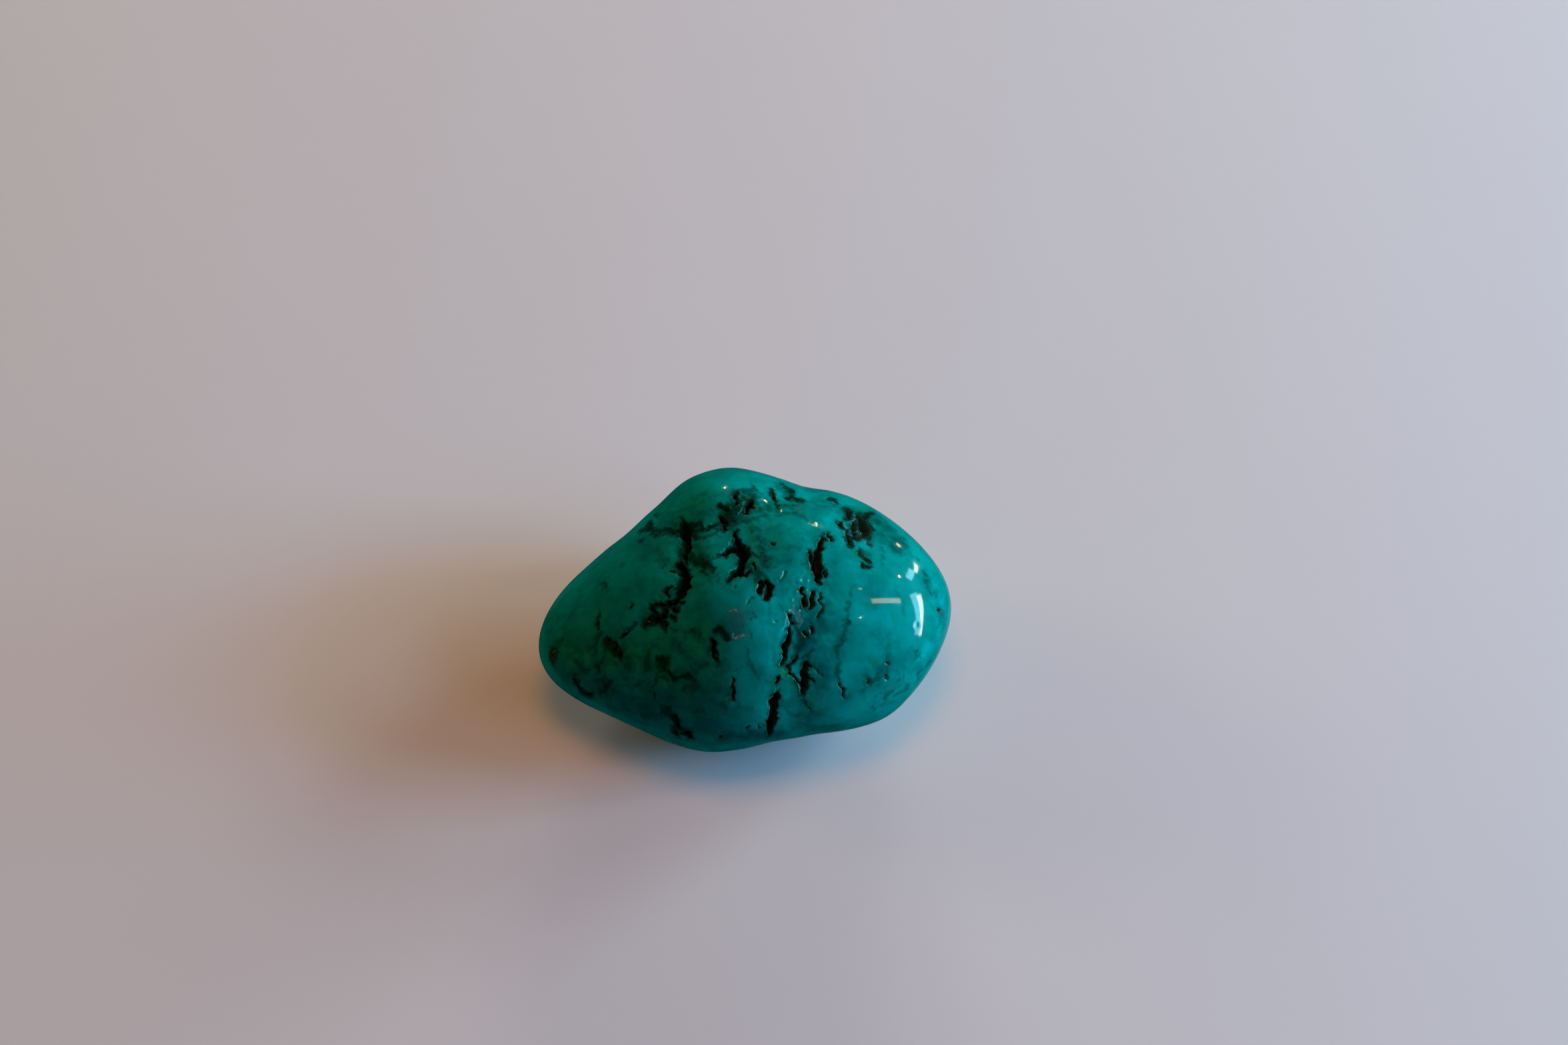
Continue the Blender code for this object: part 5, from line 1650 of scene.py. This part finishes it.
@dataclass(frozen=True)
class BreakStyle:
    """How pits and broken patches lie in the skin. An edge is two shares of the half width.

    Attributes:
        pit_edge, crumb_edge: where a wall starts to rise, and where it meets the skin.
        pit_dull, crumb_dull: where the dullness round it starts to fade, and ends.
        core_edge, core_fade: where a pit's matrix starts to thin and is thinnest, and how thin.
        core_grain: how much of it there is at least, and how much grains add.
        cover: how well matrix covers the shallowest pit, and how much a millimetre adds.
        seep: how far matrix reaches past a pit's edge, in millimetres.
        grain_relief: how much grains roughen a pit's floor.
        halo, stain_halo: how far smoke reaches in millimetres, and how much a stain gives.
        crumb_bare: the grain shares at which grains start to show matrix, and show it fully.
        crumb_fall, crumb_least: the grain shares between which grains lie deeper and deeper,
            and how far the highest are sunk, of the patch's depth.
        cleft_fall, cleft_bare: how much deeper cracks are, and how much matrix they show.
        tint_edge: where a pale, dull or rusty patch starts to fade, and ends.
    """

    pit_edge: Span = (0.5, 1.35)
    pit_dull: Span = (1.5, 1.9)
    core_edge: Span = (0.5, 1.15)
    core_fade: float = 0.8
    core_grain: Span = (0.8, 0.3)
    cover: Span = (0.42, 0.5)
    seep: float = 0.15
    grain_relief: float = 0.3
    halo: float = 0.75
    stain_halo: float = 0.8
    crumb_edge: Span = (0.7, 1.25)
    crumb_dull: Span = (1.3, 1.7)
    crumb_bare: Span = (0.38, 0.58)
    crumb_fall: Span = (0.25, 0.8)
    crumb_least: float = 0.25
    cleft_fall: float = 0.3
    cleft_bare: float = 0.9
    tint_edge: Span = (0.3, 1.3)

    def pit(self, skin: SkinMasks, ground: Ground, mark: Mark, lies: MarkReach) -> Array:
        """A pit, which falls smoothly from its edge to a floor that its grains roughen.

        Args:
            skin: the masks to raise.
            ground: the skin before its marks.
            mark: the pit.
            lies: how it lies over the skin.

        Returns:
            How far it draws the skin in, in millimetres.
        """
        cover = lies.seen * min(self.cover[0] + self.cover[1] * mark.strength, 1.0)
        core = 1.0 - self.core_fade * ease(*self.core_edge, lies.share)
        core = core * (self.core_grain[0] + self.core_grain[1] * ground.grain)
        skin.raise_to("matrix", cover * core * fade(lies.past, self.seep))
        skin.raise_to("hollow", lies.within(self.pit_dull))
        skin.raise_to("halo", cover * fade(lies.past, self.halo * min(mark.strength, 1.0)))
        rough = 1.0 + self.grain_relief * (ground.grain - 0.5)
        return mark.strength * lies.within(self.pit_edge) * rough

    def crumb(self, skin: SkinMasks, ground: Ground, mark: Mark, lies: MarkReach) -> Array:
        """A broken patch, which falls by each grain's own share, and further in the cracks.

        Args:
            skin: the masks to raise.
            ground: the skin before its marks.
            mark: the patch.
            lies: how it lies over the skin.

        Returns:
            How far it draws the skin in, in millimetres.
        """
        patch = lies.within(self.crumb_edge)
        bare = np.maximum(ease(*self.crumb_bare, ground.grain), self.cleft_bare * ground.cleft)
        skin.raise_to("matrix", patch * bare)
        skin.raise_to("hollow", lies.within(self.crumb_dull))
        skin.raise_to("halo", lies.seen * fade(lies.past, self.halo))
        sunk = (1.0 - self.crumb_least) * ease(*self.crumb_fall, ground.grain)
        sunk = self.crumb_least + sunk + self.cleft_fall * ground.cleft
        return mark.strength * patch * np.clip(sunk, 0.0, 1.0)

    def tint(self, skin: SkinMasks, mark: Mark, lies: MarkReach) -> None:
        """A colour, a dent or a nick: most fall off as a bell does, and patches end at an edge.

        Args:
            skin: the masks to raise, and the depths to add to.
            mark: the mark.
            lies: how it lies over the skin.
        """
        edged = mark.kind in (Kind.CHALK_AND_PAINTED_LIGHT, Kind.SCUFF, Kind.RUST)
        spread = mark.strength * (lies.within(self.tint_edge) if edged else lies.bell())
        if mark.kind in (Kind.DENT, Kind.NICK):
            skin.sunk += spread
        else:
            skin.raise_to("halo" if mark.kind is Kind.SMOKE else mark.kind.name.lower(), spread)
        if mark.kind is Kind.STAIN:
            smoke = self.stain_halo * mark.strength * lies.seen
            skin.raise_to("halo", smoke * fade(lies.past, self.halo))


@dataclass(frozen=True)
class Nugget:
    """The stone itself.

    Attributes:
        form, grid, finish: its form before its marks, its grid and its finish.
        breaks: how its pits and broken patches lie.
        grain_size, grain_seed: the grains' size in millimetres, and their pattern.
        cleft_step: distances from a crack, in grains, at which it starts to rise, and ends.
        face, back: the sheets before and behind it.
    """

    form: StoneForm = field(default_factory=StoneForm)
    grid: BallGrid = field(default_factory=BallGrid)
    finish: TurquoiseFinish = field(default_factory=TurquoiseFinish)
    breaks: BreakStyle = field(default_factory=BreakStyle)
    grain_size: float = 0.6
    grain_seed: int = 40
    cleft_step: Span = (0.02, 0.22)
    face: Sheet = Sheet(
        eye=(7.4, -457.0, 774.8),
        right=(1.0, 0.0, 0.0),
        up=(0.0, math.sin(FACE_TILT), math.cos(FACE_TILT)),
        zero=(-7.9, -17.3),
        marks=FACE_DENTS + FACE_PITS + FACE_CRUMBS + FACE_NICKS + FACE_STAINS + FACE_SOAKED
        + FACE_VEINS + FACE_SMOKE + FACE_GREEN + FACE_SHADE + FACE_DIM_AND_PAINTED_SHADE + FACE_BRIGHT_AND_PAINTED_LIGHT
        + FACE_CHALK_AND_PAINTED_LIGHT + FACE_SCUFF + FACE_RUST,
    )
    back: Sheet = Sheet(
        eye=(0.0, EYE_DISTANCE, 0.0),
        right=(-1.0, 0.0, 0.0),
        up=(0.0, 0.0, 1.0),
        zero=(0.0, 0.0),
        marks=BACK_MARKS,
    )

    def _mark(self, skin: SkinMasks, ground: Ground, sheet: Sheet) -> None:
        """Add one sheet's marks to the skin; where pits meet, the deepest counts.

        Args:
            skin: the masks to add to.
            ground: the skin before its marks.
            sheet: the sheet whose marks these are.
        """
        across, up = sheet.lay(ground.places)
        seen = sheet.facing(ground.outward, ground.places)
        pit = np.zeros(len(ground.places))
        for mark in sheet.marks:
            lies = MarkReach(seen, *mark.reach(across, up))
            if mark.kind is Kind.PIT:
                pit = np.maximum(pit, self.breaks.pit(skin, ground, mark, lies))
            elif mark.kind is Kind.CRUMB:
                pit = np.maximum(pit, self.breaks.crumb(skin, ground, mark, lies))
            else:
                self.breaks.tint(skin, mark, lies)
        skin.sunk += pit

    def shape(self) -> tuple[Array, Array, SkinMasks]:
        """The finished skin: directions × (the form's radius - how far marks sink it), cut flat.

        Returns:
            Its places in millimetres, its faces and its masks.
        """
        directions, faces = self.grid.build()
        radius = self.form.radius(directions)
        places = directions * radius[:, None]
        grain, crack = crumble(places, self.grain_size, self.grain_seed)
        cleft = 1.0 - ease(*self.cleft_step, crack)
        ground = Ground(places, self.form.outward(directions), grain, cleft)
        skin = SkinMasks.bare(len(places))
        for sheet in (self.face, self.back):
            self._mark(skin, ground, sheet)
        finished = directions * (radius - skin.sunk)[:, None]
        floor = finished[:, 2].min() + self.form.flat_cut
        finished[:, 2] = np.maximum(finished[:, 2], floor)
        return finished, faces, skin

    def build(self, low: Vector, high: Vector) -> tuple[bpy.types.Object, Array]:
        """Make the stone's piece where its solid is.

        Args:
            low: the solid's lowest corner in metres.
            high: its highest corner.

        Returns:
            The piece, and the place of the stone's middle in metres.
        """
        places, faces, skin = self.shape()
        own_low, own_high = places.min(axis=0) * MM, places.max(axis=0) * MM
        middle = 0.5 * (np.array(low) + np.array(high) - own_low - own_high)
        middle[2] = low.z - own_low[2]
        mesh = bpy.data.meshes.new("tumbled_skin")
        mesh.from_pydata((places * MM + middle).tolist(), [], faces.tolist())
        mesh.shade_smooth()
        for name, value in skin.values.items():
            layer = mesh.attributes.new(name, "FLOAT", "POINT")
            layer.data.foreach_set("value", value.astype(np.float32))
        mesh.materials.append(self.finish.build())
        piece = bpy.data.objects.new("tumbled_skin", mesh)
        bpy.context.scene.collection.objects.link(piece)
        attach(piece, "root")
        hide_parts(NODE)
        return piece, middle


# --- the studio


class Glow(Enum):
    """How a lamp shows in polished stone."""

    SOFT = "it lights the stone but is never mirrored in it"
    GLINT = "it is mirrored as a bright shape"


@dataclass(frozen=True)
class Lamp:
    """A flat lamp that faces the stone.

    Attributes:
        bearing, rise: where it stands from the stone, in degrees from +X towards +Y, and above
            level.
        size: its width and height in metres.
        watts: its red, green and blue power in watts.
        glow: how it shows in polished stone.
        distance: how far off, in metres.
        roll: how far it is turned about its own facing line, in degrees.
    """

    bearing: float
    rise: float
    size: Span
    watts: Colour
    glow: Glow = Glow.GLINT
    distance: float = 1.3
    roll: float = 0.0

    def build(self, name: str, target: Array) -> None:
        """Hang the lamp and turn it to a target.

        Args:
            name: the lamp's name.
            target: the place it faces, in metres.
        """
        data = bpy.data.lights.new(name, "AREA")
        data.shape = "RECTANGLE"
        data.size, data.size_y = self.size
        data.energy = max(self.watts)
        data.color = [part / data.energy for part in self.watts]
        lamp = bpy.data.objects.new(name, data)
        away = Vector(pointing(self.bearing, self.rise))
        lamp.location = Vector(target) + away * self.distance
        facing = away.to_track_quat("Z", "Y") @ Quaternion((0.0, 0.0, 1.0), math.radians(self.roll))
        lamp.rotation_euler = facing.to_euler()
        lamp.visible_glossy = self.glow is Glow.GLINT
        bpy.context.scene.collection.objects.link(lamp)


@dataclass(frozen=True)
class Studio:
    """The floor, the lamps, the sky's fill and the camera.

    Attributes:
        floor_size: the floor's side in metres.
        lens, sensor: the camera's focal length and its sensor's width in millimetres.
        clip: the nearest and farthest distances it sees, in metres.
        fill: the colour of the sky's even light.
        surround, ground: what polish mirrors where no lamp is, and what of the floor.
        ground_below, ground_behind, ground_east: how far down, back and right a mirrored line
            points where the floor starts to show in it, and is whole.
        floor_finish: the floor's finish.
    """

    floor_size: float = 8.0
    lens: float = 105.0
    sensor: float = 36.0
    clip: Span = (0.01, 50.0)
    fill: Colour = (0.0124, 0.0132, 0.0144, 1.0)
    surround: Colour = (0.0, 0.03, 0.035, 1.0)
    ground: Colour = (0.12, 0.24, 0.26, 1.0)
    ground_below: Span = (0.6, 0.8)
    ground_behind: Span = (0.15, 0.45)
    ground_east: Span = (0.0, 0.1)
    floor_finish: FloorFinish = field(default_factory=FloorFinish)

    def lamps(self) -> dict[str, Lamp]:
        """The lamps, of which the soft ones light the stone and the rest glint in it.

        Returns:
            Every lamp by name.
        """
        soft, wide = Glow.SOFT, (0.45, 0.45)
        return {
            "window": Lamp(0, 20, wide, (4.14, 8.64, 14.58), soft),
            "window_side": Lamp(30, 20, wide, (4.77, 5.85, 6.57), soft),
            "ceiling": Lamp(0, 90, wide, (4.5, 1.44, 0.01), soft),
            "back_wall": Lamp(85, 8, wide, (9, 8.37, 7.92), soft),
            "left_wall": Lamp(160, 20, wide, (2.97, 2.34, 1.35), soft),
            "front_wall": Lamp(-25, 35, wide, (1.17, 1.71, 2.7), soft),
            "pane_low": Lamp(4, 9, (0.80, 0.14), (1.1, 2.8, 3.7), roll=31),
            "pane_low_edge": Lamp(5, 4.2, (0.76, 0.10), (3.6, 3.6, 3.2), roll=33),
            "pane_high": Lamp(34, 15.5, (0.22, 0.09), (0.26, 0.6, 0.8), roll=-43),
            "pane_high_edge": Lamp(40, 7, (0.24, 0.06), (0.6, 0.6, 0.5), roll=-43),
            "warm_strip": Lamp(8, 37, (0.10, 0.46), (1.0, 0.9, 0.62), roll=17),
            "warm_back": Lamp(71, 27, (0.018, 0.006), (0.24, 0.20, 0.11), roll=30),
            "warm_far": Lamp(91, 18, (0.04, 0.03), (0.30, 0.25, 0.14)),
            "warm_east": Lamp(55, 2, (0.03, 0.02), (0.14, 0.12, 0.08)),
            "warm_shard": Lamp(32, 24, (0.03, 0.02), (0.14, 0.12, 0.08)),
            "warm_low": Lamp(-10, 46.5, (0.02, 0.012), (0.05, 0.042, 0.025)),
            "warm_high": Lamp(20, 51, (0.012, 0.008), (0.022, 0.019, 0.011)),
        }

    def floor(self) -> None:
        """Lay the floor just under the stone: one square, out of polish's sight."""
        half = 0.5 * self.floor_size
        square = [(-half, -half, 0.0), (half, -half, 0.0), (half, half, 0.0), (-half, half, 0.0)]
        mesh = bpy.data.meshes.new("floor")
        mesh.from_pydata(square, [], [(0, 1, 2, 3)])
        mesh.materials.append(self.floor_finish.build())
        floor = bpy.data.objects.new("floor", mesh)
        bpy.context.scene.collection.objects.link(floor)
        floor.visible_glossy = False

    def world(self) -> None:
        """Fill the studio with a little even light, and give polish pale ground to mirror."""
        world = bpy.data.worlds.new("studio")
        world.use_nodes = True
        wire = Wiring(world.node_tree)
        background = world.node_tree.nodes["Background"].inputs
        mirrored = wire.node("ShaderNodeLightPath").outputs["Is Glossy Ray"]
        line = wire.node("ShaderNodeTexCoord").outputs["Generated"]
        east, behind, high = wire.node("ShaderNodeSeparateXYZ", line).outputs
        seen = wire.step(wire.math("MULTIPLY", high, -1.0), *self.ground_below)
        seen = wire.math("MULTIPLY", seen, wire.step(behind, *self.ground_behind))
        seen = wire.math("MULTIPLY", seen, wire.step(east, *self.ground_east))
        polish = wire.blend(seen, self.surround, self.ground)
        wire.put(background["Color"], wire.blend(mirrored, self.fill, polish))
        background["Strength"].default_value = 1.0
        bpy.context.scene.world = world

    def camera(self, middle: Array, eye: Point) -> None:
        """Stand the camera at the face sheet's eye and look down the face's tilt.

        Args:
            middle: the stone's middle in metres.
            eye: the eye's place from the middle, in millimetres.
        """
        data = bpy.data.cameras.new("camera")
        data.lens = self.lens
        data.sensor_width = self.sensor
        data.clip_start, data.clip_end = self.clip
        camera = bpy.data.objects.new("camera", data)
        camera.location = Vector(middle + np.array(eye) * MM)
        camera.rotation_euler = (math.pi / 2.0 - FACE_TILT, 0.0, 0.0)
        bpy.context.scene.collection.objects.link(camera)
        bpy.context.scene.camera = camera

    def build(self, middle: Array, eye: Point) -> None:
        """Set up the whole studio round the stone.

        Args:
            middle: the stone's middle in metres.
            eye: the camera's place from the middle, in millimetres.
        """
        self.floor()
        self.world()
        self.camera(middle, eye)
        for name, lamp in self.lamps().items():
            lamp.build(name, middle)
        bpy.context.scene.view_settings.view_transform = "Standard"
        bpy.context.scene.view_settings.look = "None"


def main() -> None:
    """Build the stone and its studio."""
    logging.basicConfig(level=logging.INFO, format="%(name)s: %(message)s")
    nugget = Nugget()
    piece, middle = nugget.build(*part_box(NODE))
    LOG.info("%s: %d faces", piece.name, len(piece.data.polygons))
    studio = Studio()
    studio.build(middle, nugget.face.eye)
    LOG.info("studio: floor, camera and %d lamps", len(studio.lamps()))
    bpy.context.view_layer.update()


if __name__ == "__main__":
    main()
